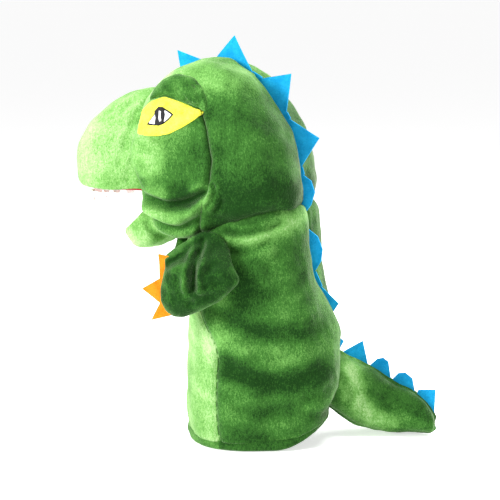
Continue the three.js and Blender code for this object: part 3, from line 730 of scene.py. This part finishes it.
def closed_outline(points, count, soften):
    """The closed outline through the points, at equal steps, with its corners softened."""
    p = np.array(points, float)
    x, y = even_ring(p[:, 0], p[:, 1], count)
    reach = np.arange(count)
    reach = np.minimum(reach, count - reach)
    kernel = np.exp(-0.5 * (reach / soften) ** 2)
    kernel /= kernel.sum()
    smoothed = [np.real(np.fft.ifft(np.fft.fft(v) * np.fft.fft(kernel))) for v in (x, y)]
    return np.stack(smoothed, -1)


def laid_on(name, tree, outline, side, base, rise, power, slot, centre, soften, nodes=(), rings=14, count=150,
            tone_and_painted_light=None):
    """A flat or padded piece lying on the side of the head: outline in Y and Z, base its lift off the
    surface at the edge, and rise how much further out its middle stands. One given a painted light value is wavy,
    and carries that value with random mottle."""
    edge = closed_outline(outline, count, soften)
    middle = np.array(centre)
    vertices = []
    for r in np.sin(np.linspace(0, math.pi / 2, rings + 1)):
        for y, z in middle + r * (edge - middle):
            spot, normal, *_ = tree.ray_cast(Vector((side * 120, y, z)), Vector((-side, 0, 0)))
            if spot is None:
                spot, normal, *_ = tree.find_nearest(Vector((side * 40, y, z)))
            if normal.x * side < 0:
                normal = -normal
            lift = base + rise * (1 - r ** power) ** 0.5
            if tone_and_painted_light is not None:
                lift += 0.35 * math.sin(y * 0.9 + z * 0.5) * (1 - r)
            vertices.append(np.array(spot) + np.array(normal) * lift)
    grid = np.array(vertices).reshape(rings + 1, count, 3)[:, ::side]
    flat = grid.reshape(-1, 3)
    piece = make_object(name, head_place(flat), grid_faces(rings + 1, count), slot)
    if tone_and_painted_light is not None:
        set_painted_light(piece, np.full(len(flat), tone_and_painted_light) + 0.12 * lumps(flat, 12, 51))
    fix_normals(piece)
    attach(piece, "head")
    if nodes:
        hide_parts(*nodes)
    return piece


def fix_normals(piece):
    """Merges points that coincide and turns the faces outwards."""
    mesh = bmesh.new()
    mesh.from_mesh(piece.data)
    bmesh.ops.remove_doubles(mesh, verts=mesh.verts, dist=1e-6)
    bmesh.ops.recalc_face_normals(mesh, faces=mesh.faces)
    mesh.to_mesh(piece.data)
    mesh.free()


LEAF = [(-65.5, 215), (-66.5, 200.6), (-58, 199.6), (-51, 200), (-43, 201.4), (-33.7, 206), (-26.3, 210.7),
        (-20.5, 215.4), (-34, 220.4), (-48, 224.6), (-57, 221.5)]
EYE = [(-58.4, 206.4), (-53.4, 213.8), (-48.4, 218.3), (-44, 216), (-40, 213.4), (-43.4, 209.4),
       (-46.8, 206.8), (-52.6, 205.8)]
PUPIL = [(-53.4, 215), (-50.5, 218), (-46.8, 217.6), (-45.4, 213), (-46.2, 207.6), (-49.5, 205.8),
         (-52.6, 206.4), (-52.2, 211)]
GLINT = [(-49.6, 215.8), (-48.2, 215.6), (-48.2, 212), (-47.4, 209), (-48.6, 208), (-49.6, 210.4)]
BROW = [(-60, 221.5), (-58, 228.5), (-51.5, 235), (-42, 238.8), (-31, 236.8), (-23, 230.5), (-18.5, 221.5),
        (-19, 215), (-25, 218.2), (-35, 221.6), (-48, 225), (-56, 223)]


EYE_CENTRE = (-49.3, 211.3)
WHITE = [(y + 0.16 * (EYE_CENTRE[0] - y), z + 0.16 * (EYE_CENTRE[1] - z)) for y, z in EYE]
# Name, outline, lift at the edge and in the middle, squareness of the edge, slot, centre and softness
EYE_LAYERS = (
    ("eye_outline", EYE, 1.3, 0.55, 10, "black_thread", EYE_CENTRE, 1.5),
    ("white", WHITE, 1.6, 0.55, 8, "white_thread", EYE_CENTRE, 1.5),
    ("slit", PUPIL, 1.8, 0.6, 8, "black_thread", (-49.2, 211.6), 2.0),
    ("glint", GLINT, 2.0, 0.55, 8, "white_thread", (-49.4, 211.5), 2.0),
)
EYE_NODES = {"eye_outline": "pupil", "white": "eye"}


def make_eyes(tree):
    for label, side in (("left", 1), ("right", -1)):
        laid_on(f"{label}_leaf", tree, LEAF, side, 0.1, 1.4, 14, "yellow_felt", (-46, 211), 1.6,
                [f"{label}_eye_patch"], count=200)
        for name, outline, *rest in EYE_LAYERS:
            nodes = [f"{label}_{EYE_NODES[name]}"] if name in EYE_NODES else []
            laid_on(f"{label}_{name}", tree, outline, side, *rest, nodes)
        # the brow roll is plush with a middling painted light value
        brow = laid_on(f"{label}_brow_roll", tree, BROW, side, -0.6, 4.6, 2.6, "green_plush", (-40, 229.5), 3,
                       [f"{label}_brow"], rings=22, count=180, tone_and_painted_light=0.30)


# ---- forms along Y: snout, lower jaw and tail

def forward_grid(table, square_top, square_low, keys_at, counts, step=1.3, bend=lambda y: 0, flat_low=0.5):
    """Sections stacked along Y. keys_at gives the key angles of the section at a place along the form."""
    table = sorted(table)
    rings = []
    for y in even_levels(table, (1, 2, 3), step)[::-1]:
        low, top, half = (float(smooth(table, c, y)) for c in (1, 2, 3))
        middle = low + flat_low * (top - low)

        def shape(angle):
            s = np.sin(angle)
            square = np.where(s > 0, square_top, square_low)
            a, b = oval(angle, half, 1.0, square)
            return a, np.where(s > 0, b * (top - middle), b * (middle - low))

        a, b = keyed_ring(shape, keys_at(y, half), counts)
        rings.append(np.stack([a + bend(y), np.full_like(a, y), b + middle], -1))
    return np.array(rings)


SNOUT = [
    (-50, 161.4, 225, 30.5), (-60, 161.4, 227.5, 32), (-70, 161.4, 228.4, 33), (-80, 161.4, 226.6, 33.4),
    (-90, 161.5, 223, 33.4), (-99, 161.9, 218, 32.8), (-107, 162.8, 211.6, 30.8), (-113, 164.4, 204.6, 27.2),
    (-117.4, 167.6, 196.8, 21.6), (-120, 171.6, 189, 14.5), (-121.2, 175, 183, 5),
]
SNOUT_SEAM_HALF = 24
SNOUT_TOP_COLUMNS, SNOUT_SIDE_COLUMNS = 70, 120
SNOUT_FOLDS = (
    ([(-66, 221), (-73, 214), (-77, 204)], 0.9, 1.8), ([(-69, 226), (-78, 220), (-86, 212)], 0.8, 2.0),
    ([(-70, 210), (-78, 200), (-81, 190)], 0.7, 2.2), ([(-73, 198), (-81, 186), (-83, 176)], 0.6, 2.6),
    ([(-72, 186), (-77, 176), (-78, 168)], 0.6, 2.4),
)


def snout_keys(y, half):
    corner = math.acos(min(SNOUT_SEAM_HALF / half, 0.75) ** (2.5 / 2))
    return [corner, math.pi - corner, 1.5 * math.pi]


def make_snout():
    counts = [SNOUT_TOP_COLUMNS, SNOUT_SIDE_COLUMNS, SNOUT_SIDE_COLUMNS]
    plain = forward_grid(SNOUT, 2.5, 9.0, snout_keys, counts, flat_low=0.34)
    x, y, z = np.moveaxis(plain, -1, 0)
    off = np.abs(np.abs(x) - SNOUT_SEAM_HALF)
    out = groove(np.where((off < 6) & (z > 192), off, 99), 1.0, 1.3) * (1 - ease((-y - 96) / 14))
    out += 0.7 * lumps(plain, 44, 61) + 0.3 * lumps(plain, 19, 62)
    # the lining lies in a recess inside the rim
    rim = smooth(sorted(SNOUT), 3, y) - 2.2
    recess = ease((rim - np.abs(x)) / 2) * ease((y + 115) / 3) * (z < 167)
    plain[..., 2] += 2.6 * recess
    # painted light: the snout is pale, as if lit from the front and side, with random mottle
    tone_and_painted_light = 0.74 + 0.06 * lumps(plain, 26, 63) + 0.04 * lumps(plain, 11, 64)
    # more painted light towards the tip, and painted shade at the back by the cheek and underneath
    tone_and_painted_light += 0.12 * ease((-y - 84) / 26) - 0.22 * ease((y + 76) / 14) - 0.10 * ease((178 - z) / 16)
    crease = creases(y, z, SNOUT_FOLDS)
    out += crease * (np.abs(x) > 14)
    # painted shade in the creases and painted light on their ridges
    tone_and_painted_light += 0.1 * crease
    grid, tone_and_painted_light = capped(relieved(plain, out), tone_and_painted_light, 0.85)
    _, column = cells(grid)
    part = (column - SNOUT_TOP_COLUMNS) // SNOUT_SIDE_COLUMNS
    parts = {
        "snout_top": (part < 0, ["snout_top_panel", "snout_stuffing"]),
        "right_snout": (part == 0, ["right_snout_panel"]),
        "left_snout": (part == 1, ["left_snout_panel"]),
    }
    for name, (keep, nodes) in parts.items():
        piece = panel(name, grid, tone_and_painted_light, keep, head_place, nodes, thickness=0, body="upper_jaw")
        flip_outwards(piece, head_place([0, -85, 190]))


def make_roof():
    """The red lining above, set a little inside the lip: square at the back and round in front."""
    back, front, half, height = -56, -111, 28.8, 163.4
    turn = np.linspace(0, math.pi, 60)
    round_end = [(half * math.cos(t), front + 20 * (1 - math.sin(t) ** 1.1)) for t in turn]
    outline = [(half, back)] + round_end + [(-half, back)]
    felt_piece("mouth_roof", outline, lambda p: head_place(p + np.array([0, 0, height])), "red_lining",
               ["upper_mouth_lining", "upper_mouth_board"], "upper_jaw", thickness=1.2, step=1.4)


def flip_outwards(piece, centre):
    """Turns the faces of a panel so that they look away from a point inside the form."""
    faces = piece.data.polygons
    inward = sum((face.center - Vector(centre)).dot(face.normal) < 0 for face in faces)
    if inward > len(faces) / 2:
        piece.data.flip_normals()


JAW = [
    (20, -16, -2, 14), (10, -18.5, 0, 17), (0, -20.4, 0.6, 19.5), (-10, -21.2, 0.2, 21.5),
    (-20, -20.8, -0.6, 22.8),
    (-30, -19, -1, 22), (-37, -15.6, -2, 17.6), (-41, -12, -3.8, 11.5), (-42.6, -9, -6, 4),
]


JAW_FOLDS = (
    ([(-10, -2), (-13, -9), (-9, -19)], 1.5, 1.7, 0.5), ([(-2, -2), (-5, -9), (-1, -18)], 1.9, 1.9, 0.5),
    ([(-20, -3), (-22, -10), (-18, -19)], 0.8, 1.8, 0.5), ([(7, -3), (4, -10), (8, -17)], 1.6, 2.0, 0.5),
)


def make_jaw():
    plain = forward_grid(JAW, 4.5, 2.4, lambda y, half: [0, math.pi], [100, 120], step=1.0, flat_low=0.62)
    x, y, z = np.moveaxis(plain, -1, 0)
    out = 0.6 * lumps(plain, 22, 71) + 0.25 * lumps(plain, 9, 72)
    # painted light: the lower jaw is pale, as if lit, with random mottle
    tone_and_painted_light = 0.60 + 0.08 * lumps(plain, 15, 73)
    # the lip stands up round the lining
    lip = bell(np.abs(x) - smooth(sorted(JAW), 3, y) + 1.4, 2.6) * ease((z + 9) / 4) * ease((6 - y) / 8)
    plain[..., 2] += 5 * lip
    crease = creases(y, z, JAW_FOLDS)
    out += crease
    # painted shade in the creases, painted light on their ridges and towards the tip
    tone_and_painted_light += 0.13 * crease + 0.25 * ease((-y - 24) / 12)
    grid, tone_and_painted_light = capped(relieved(plain, out), tone_and_painted_light, 0.8)
    hinge = (jaw_place([0, 9, -8]), jaw_place([0, -7, -8]))
    piece = panel("lower_jaw_plush", grid, tone_and_painted_light, None, jaw_place, ["lower_jaw_skin", "lower_jaw_stuffing"],
                  thickness=0, joint=("head", "lower_jaw", *hinge))
    flip_outwards(piece, jaw_place([0, -18, -9]))


TAIL = [
    (42, 21, 56, 19), (50, 16.5, 54.8, 19.5), (60, 10, 51, 19.8), (72, 3.2, 45, 19.6), (84, 0.5, 38, 18.8),
    (96, 0.3, 30.6, 17.2), (104, 0.3, 25.6, 15.2), (110, 0.5, 20.6, 12.6), (114, 1.6, 15.8, 9.4),
    (116.6, 4.4, 11.4, 3.5),
]
TAIL_BEND = 20
TAIL_COLUMNS = 110
TAIL_FOLDS = (
    ([(52, 44), (60, 36), (62, 22)], 1.6, 3.0), ([(66, 34), (78, 24), (92, 16)], 1.0, 3.6),
    ([(88, 26), (99, 17), (110, 11)], 0.7, 2.6),
)
# Painted light in a band over the tail near the body: path, amount and width
TAIL_PAINTED_LIGHT = (([(60, 44), (61, 30), (66, 19), (76, 10), (84, 8)], 0.58, 8.5),)


def tail_bend(y):
    return TAIL_BEND * (np.maximum(y - 60, 0) / 58) ** 2


def make_tail():
    plain = forward_grid(TAIL, 2.3, 2.5, lambda y, half: [math.pi / 2, 1.5 * math.pi],
                         [TAIL_COLUMNS, TAIL_COLUMNS], bend=tail_bend)[::-1]
    x, y, z = np.moveaxis(plain, -1, 0)
    crease = creases(y, z, TAIL_FOLDS)
    out = groove(np.abs(x - tail_bend(y)), 1.5, 1.7) + 0.9 * lumps(plain, 34, 81) + 0.4 * lumps(plain, 14, 82)
    tone_and_painted_light = 0.20 + 0.08 * lumps(plain, 24, 83) + 0.06 * lumps(plain, 10, 84)
    # painted light in that band, and painted shade in the creases with light on their ridges
    tone_and_painted_light += painted_bands(y, z, TAIL_PAINTED_LIGHT) + 0.1 * crease
    grid = relieved(plain, out + crease)
    grid[..., 2] = np.maximum(grid[..., 2], 0.2)
    grid, tone_and_painted_light = capped(grid, tone_and_painted_light, 0.5)
    _, column = cells(grid)
    right = column < TAIL_COLUMNS
    root = (body_place([0, 50, 35]), body_place([0, 64, 35]))
    for name, keep, nodes in (("right_tail", right, ["right_tail_panel", "tail_stuffing"]),
                              ("left_tail", ~right, ["left_tail_panel"])):
        piece = panel(name, grid, tone_and_painted_light, keep, body_place, nodes, thickness=0, joint=("body", "tail", *root))
        flip_outwards(piece, body_place([3, 82, 18]))


# ---- arms

ARM_ORIGIN = np.array([49.0, -48.0, 0.0])
ARM_HEADING = np.array([0.35, 0.937, 0.0]) / math.hypot(0.35, 0.937)
ARM_ACROSS = np.array([ARM_HEADING[1], -ARM_HEADING[0], 0.0])
SHOULDER = np.array([39.0, -39.0, 133.0])
# How far the left arm is set in, and how the right one is set: lowered, dropped forwards and spread
LEFT_IN = 3.4
RIGHT_LOW, RIGHT_DROP, RIGHT_SPREAD = 7, math.radians(40), math.radians(22)

# The paddle's outline, along the arm's heading and up
PADDLE = [
    (5, 141), (12, 140.5), (17, 137), (21.5, 131.5), (25.5, 123), (31, 113), (30, 109.5), (25, 104.5),
    (17.8, 98),
    (6, 91.8), (-5, 87.2), (-12, 87.4), (-17, 91), (-20, 97), (-20.4, 105), (-18.5, 113), (-17, 119),
    (-18.5, 125.5), (-12, 131), (-4, 136), (0, 138.8),
]
PADDLE_CENTRE = (3, 111)
ARM_FOLDS = (
    ([(5.5, 138), (4.6, 128), (3.2, 117), (2.6, 103)], 4.6, 2.4, 0.6),
    ([(-16, 120), (-8, 124), (-1, 126), (4, 129)], 2.2, 2.2, 0.6),
    ([(-2, 96), (8, 100), (18, 104)], 1.1, 2.4),
    ([(26, 112), (18, 112), (9, 108)], 0.9, 2.2), ([(24, 124), (15, 121), (8, 114)], 1.3, 2.4),
    ([(-21, 117), (-13, 122), (-4, 129), (3, 136)], 2.6, 2.0, 0.5),
    ([(-18, 103), (-10, 101), (-2, 104)], 0.6, 2.4),
)
ARM_RINGS, ARM_COLUMNS = 46, 240
ARM_HALF = 10.5
LEFT_LEAN, RIGHT_LEAN = 11.5, 7.5


def tilted(a, b, angle):
    return math.cos(angle) * a - math.sin(angle) * b, math.sin(angle) * a + math.cos(angle) * b


def arm_place(points, side):
    """Points along the arm's heading, up and outwards, to the row frame."""
    p = np.asarray(points, float)
    seat = ARM_ORIGIN + p @ np.array([ARM_HEADING, (0, 0, 1), ARM_ACROSS])
    if side > 0:
        return body_place(seat - np.array([LEFT_IN, 0, 0]))
    x, y, z = np.moveaxis(seat - SHOULDER, -1, 0)
    y, z = tilted(y, z, RIGHT_DROP)
    z, x = tilted(z, -x, RIGHT_SPREAD)
    return body_place(np.stack([x - SHOULDER[0], y + SHOULDER[1], z + SHOULDER[2] - RIGHT_LOW], -1))


def make_arm(label, side):
    edge = closed_outline(PADDLE, ARM_COLUMNS, 1.8)
    middle = np.array(PADDLE_CENTRE)
    grid, tone_and_painted_light = [], []
    # from the middle of the outer face, over the seam at the edge, to the middle of the inner face
    for k in range(-ARM_RINGS, ARM_RINGS + 1):
        r = math.sin(math.pi / 2 * (ARM_RINGS - abs(k)) / ARM_RINGS)
        spot = middle + r * (edge - middle)
        u, v = spot[:, 0], spot[:, 1]
        flat = np.stack([u, v, 0 * u], -1)
        crease = creases(u, v, ARM_FOLDS)
        w = ARM_HALF * (1 - r ** 2.6) ** 0.55 * (0.55 + 0.45 * ease((140 - v) / 26)) * (1 if k <= 0 else 0.85)
        dents = 0.8 * lumps(flat, 17, 91) + 0.35 * lumps(flat, 8, 92)
        w += (crease + dents) * min(1, 2.2 * (1 - r) + 0.12)
        grid.append(np.stack([u, v, w if k <= 0 else -w], -1))
        # painted shade: the arm is darker than the body, with more in its creases, and random mottle on top
        shade = -0.02 + 0.10 * lumps(flat, 16, 93) + 0.07 * lumps(flat, 8, 94) + 0.06 * crease
        # painted light towards the front of the paddle and painted sheen along its edge
        shade += 0.12 * ease((4 - u) / 12) * ease((v - 92) / 20) + 0.16 * (1 - ease((1 - r) * 7))
        # painted shade on the top of the sleeve, towards the back
        tone_and_painted_light.append(shade - 0.12 * ease((v - 126) / 10) * ease((u + 4) / 6))
    grid, tone_and_painted_light = np.array(grid), np.clip(np.array(tone_and_painted_light), 0, 1)
    # the seam at the edge is drawn in
    outwards = (edge - middle) / np.linalg.norm(edge - middle, axis=1, keepdims=True)
    seam = bell(np.arange(-ARM_RINGS, ARM_RINGS + 1), 1.4)
    grid[..., :2] -= 0.7 * seam[:, None, None] * outwards
    # the sleeve's top leans in to the shoulder
    lean = LEFT_LEAN if side > 0 else RIGHT_LEAN
    grid[..., 2] -= lean * ease((grid[..., 1] - 118) / 18)
    shoulder = (arm_place([2, 137, -4], side), arm_place([0, 124, 0], side))
    nodes = [f"{label}_arm_skin", f"{label}_arm_stuffing"]
    piece = panel(f"{label}_arm", grid, tone_and_painted_light, None, lambda p: arm_place(p, side), nodes, thickness=0,
                  joint=("body", f"{label}_arm", *shoulder))
    fix_normals(piece)


FELT_THICKNESS = 1.4
# Claws: root, tip and root of each felt point, along the heading and up
CLAWS = [
    [(-6, 124), (-21.5, 127), (-20.5, 110), (-8, 108)],
    [(-8, 113), (-20.8, 111.5), (-32.5, 104.6), (-20.5, 95.5), (-8, 98)],
    [(-8, 101), (-20.2, 97), (-26.5, 84.6), (-14, 88), (-6, 92)],
]


def felt_piece(name, outline, place, slot, nodes, body, thickness=FELT_THICKNESS, curl=None, step=0.9):
    """A flat felt shape drawn in a plane and bent out of it by curl, with its cut edges square."""
    edge = np.array(outline, float)
    closed = np.vstack([edge, edge[:1]])
    run = np.concatenate([[0], np.cumsum(np.linalg.norm(np.diff(closed, axis=0), axis=1))])
    at = np.unique(np.concatenate([np.linspace(0, run[-1], max(24, int(run[-1] / step)))[:-1], run[:-1]]))
    rim = np.stack([np.interp(at, run, closed[:, 0]), np.interp(at, run, closed[:, 1])], -1)
    middle, count = rim.mean(0), len(rim)
    rings = max(5, int(np.linalg.norm(rim - middle, axis=1).max() / (1.4 * step)))
    flat = np.array([middle + r * (rim - middle) for r in np.linspace(0, 1, rings + 1)]).reshape(-1, 2)
    lift = np.array([curl(a, b) if curl else 0.0 for a, b in flat])
    sheets = [np.column_stack([flat, lift + half]) for half in (thickness / 2, -thickness / 2)]
    front = grid_faces(rings + 1, count)
    base, last = len(flat), rings * count
    back = [tuple(base + i for i in reversed(face)) for face in front]
    rims = [(last + i, last + (i + 1) % count, base + last + (i + 1) % count, base + last + i)
            for i in range(count)]
    piece = make_object(name, place(np.concatenate(sheets)), front + back + rims, slot)
    fix_normals(piece)
    # keeps the cut edges crisp under smooth shading
    split = piece.modifiers.new("edges", "EDGE_SPLIT")
    split.split_angle = math.radians(50)
    apply_modifiers(piece)
    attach(piece, body)
    if nodes:
        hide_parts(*nodes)


def make_claws(label, side):
    for number, outline in enumerate(CLAWS, 1):
        felt_piece(f"{label}_claw_felt_{number}", outline,
                   lambda p: arm_place(p - np.array([0, 0, 0.5]), side), "orange_felt",
                   [f"{label}_claw_{number}"], f"{label}_arm",
                   curl=lambda a, b: 0.03 * (a + 12) * (number - 2) + 0.6 * math.sin(b * 0.3))


# ---- spikes

# Each felt spike: the ends of its base and its tip, in Y and Z in the seam's plane
HEAD_SPIKES = [
    [(-52.5, 241), (-54.5, 252.5), (-36, 246)],
    [(-29, 246.5), (-16.4, 262.3), (-3, 238.8)],
    [(3.2, 235), (23.6, 238.4), (19.8, 213.3)],
    [(22, 209.2), (41.8, 197.2), (30, 178.4)],
    [(31.4, 173.3), (36.5, 169.5), (38.8, 162), (36.6, 154), (31.6, 146.6)],
]
HEAD_CURL = [0.0, 0.15, -0.1, 0.05, 0.5]
# In the body the seam's plane follows the twist, so these are distance from the axis and height.
BODY_SPIKES = [
    [(34.6, 138.6), (41, 133.5), (44.2, 125), (43.4, 117.5), (38.8, 110)],
    [(42.5, 100), (53.8, 87.6), (48.4, 78.6)],
    [(52.2, 66.5), (58.6, 60.5), (54, 53.5)],
]
BODY_CURL = [0.5, 0.1, 0.9]
TAIL_SPIKES = [
    [(57, 53), (71, 60.6), (74.8, 43.4)],
    [(75, 43.2), (80.7, 48.6), (84.5, 49.4), (87.6, 47), (89.4, 34.6)],
    [(89.8, 34.4), (94.2, 39.4), (98.5, 40), (102.6, 36.6), (104.6, 25)],
    [(105, 24.8), (106.6, 29), (116.4, 30), (115.8, 13.6)],
]
TAIL_CURL = [0, 0, 0, 0]


def out_of(base_start, base_end, tip):
    """The direction away from a base line, on the tip's side."""
    along = (base_end - base_start) / np.linalg.norm(base_end - base_start)
    out = np.array([-along[1], along[0]])
    return out if np.dot(out, tip - base_start) > 0 else -out


def seam_place(place):
    """A drawing in the plane of a seam: Y, Z and the distance out of the plane towards +X."""
    return lambda p: place(np.stack([p[:, 2], p[:, 0], p[:, 1]], -1))


def tail_place(points):
    return body_place(points + np.stack([tail_bend(points[:, 1]), 0 * points[:, 1], 0 * points[:, 1]], -1))


def make_spike(name, points, depth, bow, place, node, body):
    """One spike, with its base continued into the seam, leaning out of the seam's plane by its bow."""
    outline = [np.array(p, float) for p in points]
    first, last = outline[0], outline[-1]
    out = out_of(first, last, outline[1])
    root = [end - out * depth for end in (first, last, (first + last) / 2)]
    felt_piece(name, root[:1] + outline + root[1:], place, "blue_felt", [node], body,
               curl=lambda a, b: -bow * 0.06 * np.dot(np.array([a, b]) - first, out) ** 2)


def make_band(name, spikes, place, body):
    """The felt's edge showing in the seam from one spike to the next."""
    for number, (one, other) in enumerate(zip(spikes, spikes[1:]), 1):
        a, b = np.array(one[-1], float), np.array(other[0], float)
        if np.linalg.norm(b - a) > 1.5:
            out = out_of(a, b, np.array(one[1], float))
            outline = [a - 3 * out, a + 0.9 * out, b + 0.9 * out, b - 3 * out]
            felt_piece(f"{name}_{number}", outline, place, "blue_felt", [], body)


def make_spikes():
    head_seam = seam_place(head_place)
    body_seam = seam_place(lambda p: body_place(twisted(p)))
    for name, spikes, curls, depth, place, node, first, body in (
        ("head_spike", HEAD_SPIKES, HEAD_CURL, 3.2, head_seam, "back_spike", 1, "head"),
        ("body_spike", BODY_SPIKES, BODY_CURL, 3.2, body_seam, "back_spike", 6, "body"),
        ("tail_felt", TAIL_SPIKES, TAIL_CURL, 3.0, seam_place(tail_place), "tail_spike", 1, "tail"),
    ):
        for k, (points, bow) in enumerate(zip(spikes, curls)):
            make_spike(f"{name}_{k + 1}", points, depth, bow, place, f"{node}_{first + k}", body)
    make_band("head_band", HEAD_SPIKES, head_seam, "head")
    make_band("body_band", BODY_SPIKES, body_seam, "body")


# ---- what keeps its CAD shape

def dress_cad():
    """Gives what stays of the CAD the look of its material slot."""
    for subpart in frame["record"]["subparts"]:
        node = frame["nodes"].get(subpart["node"])
        if node is None:
            continue
        node.data.materials.clear()
        node.data.materials.append(SLOT_LOOKS[subpart["material_slot"]])


# ---- light and camera

AIM = Vector((0.005, -0.0076, 0.123))
AMBIENT = 0.33
FLOOR_HALF, FLOOR_LOW, FLOOR_GLOW = 200, 0.0003, 0.65
LENS, SENSOR = 132, 36
AZIMUTH, ELEVATION, DISTANCE = math.radians(82), math.radians(8), 1.2


def area_light(name, place, size, power):
    data = bpy.data.lights.new(name, "AREA")
    data.size, data.energy = size, power
    light = bpy.data.objects.new(name, data)
    light.location = place
    light.rotation_euler = (AIM - Vector(place)).to_track_quat("-Z", "Y").to_euler()
    scene.collection.objects.link(light)


def make_floor():
    """A white floor that glows a little, so that it stays pale far from the lights."""
    corners = [(x * FLOOR_HALF, y * FLOOR_HALF, 0) for x, y in ((-1, -1), (1, -1), (1, 1), (-1, 1))]
    floor = make_object("floor", corners, [(0, 1, 2, 3)])
    floor.location.z = -FLOOR_LOW
    material, _, bsdf = shader("pale_floor", 0.9)
    set_sockets(bsdf, Base_Color=(0.93, 0.93, 0.93, 1), Emission_Color=(1, 1, 1, 1),
                Emission_Strength=FLOOR_GLOW)
    floor.data.materials.append(material)


def make_light_and_camera():
    """Soft light from three sides and the surroundings, which look white but light the part less."""
    world = bpy.data.worlds.new("studio")
    scene.world = world
    scene.view_settings.view_transform = "Standard"
    world.use_nodes = True
    tree = world.node_tree
    background = tree.nodes["Background"]
    background.inputs["Color"].default_value = (1, 1, 1, 1)
    path = add_node(tree, "LightPath")
    strength = maths(tree, "MULTIPLY_ADD", path.outputs["Is Camera Ray"], 1 - AMBIENT, AMBIENT)
    tree.links.new(strength, background.inputs["Strength"])
    area_light("key", (0.42, -1.0, 0.62), 0.4, 18)
    area_light("top", (0.1, 0.15, 1.2), 0.5, 15)
    area_light("rim", (-0.75, 0.9, 0.5), 0.6, 16)
    data = bpy.data.cameras.new("camera")
    data.lens, data.sensor_width = LENS, SENSOR
    camera = bpy.data.objects.new("camera", data)
    towards = Vector((math.cos(ELEVATION) * math.sin(AZIMUTH), -math.cos(ELEVATION) * math.cos(AZIMUTH),
                      math.sin(ELEVATION)))
    camera.location = AIM + DISTANCE * towards
    camera.rotation_euler = (-towards).to_track_quat("-Z", "Y").to_euler()
    scene.collection.objects.link(camera)
    scene.camera = camera


dress_cad()
make_body()
make_hem()
make_eyes(surface_of(make_head()))
make_snout()
make_roof()
make_jaw()
make_tail()
for arm_label, arm_side in (("left", 1), ("right", -1)):
    make_arm(arm_label, arm_side)
    make_claws(arm_label, arm_side)
make_spikes()
make_floor()
make_light_and_camera()

bpy.context.view_layer.update()
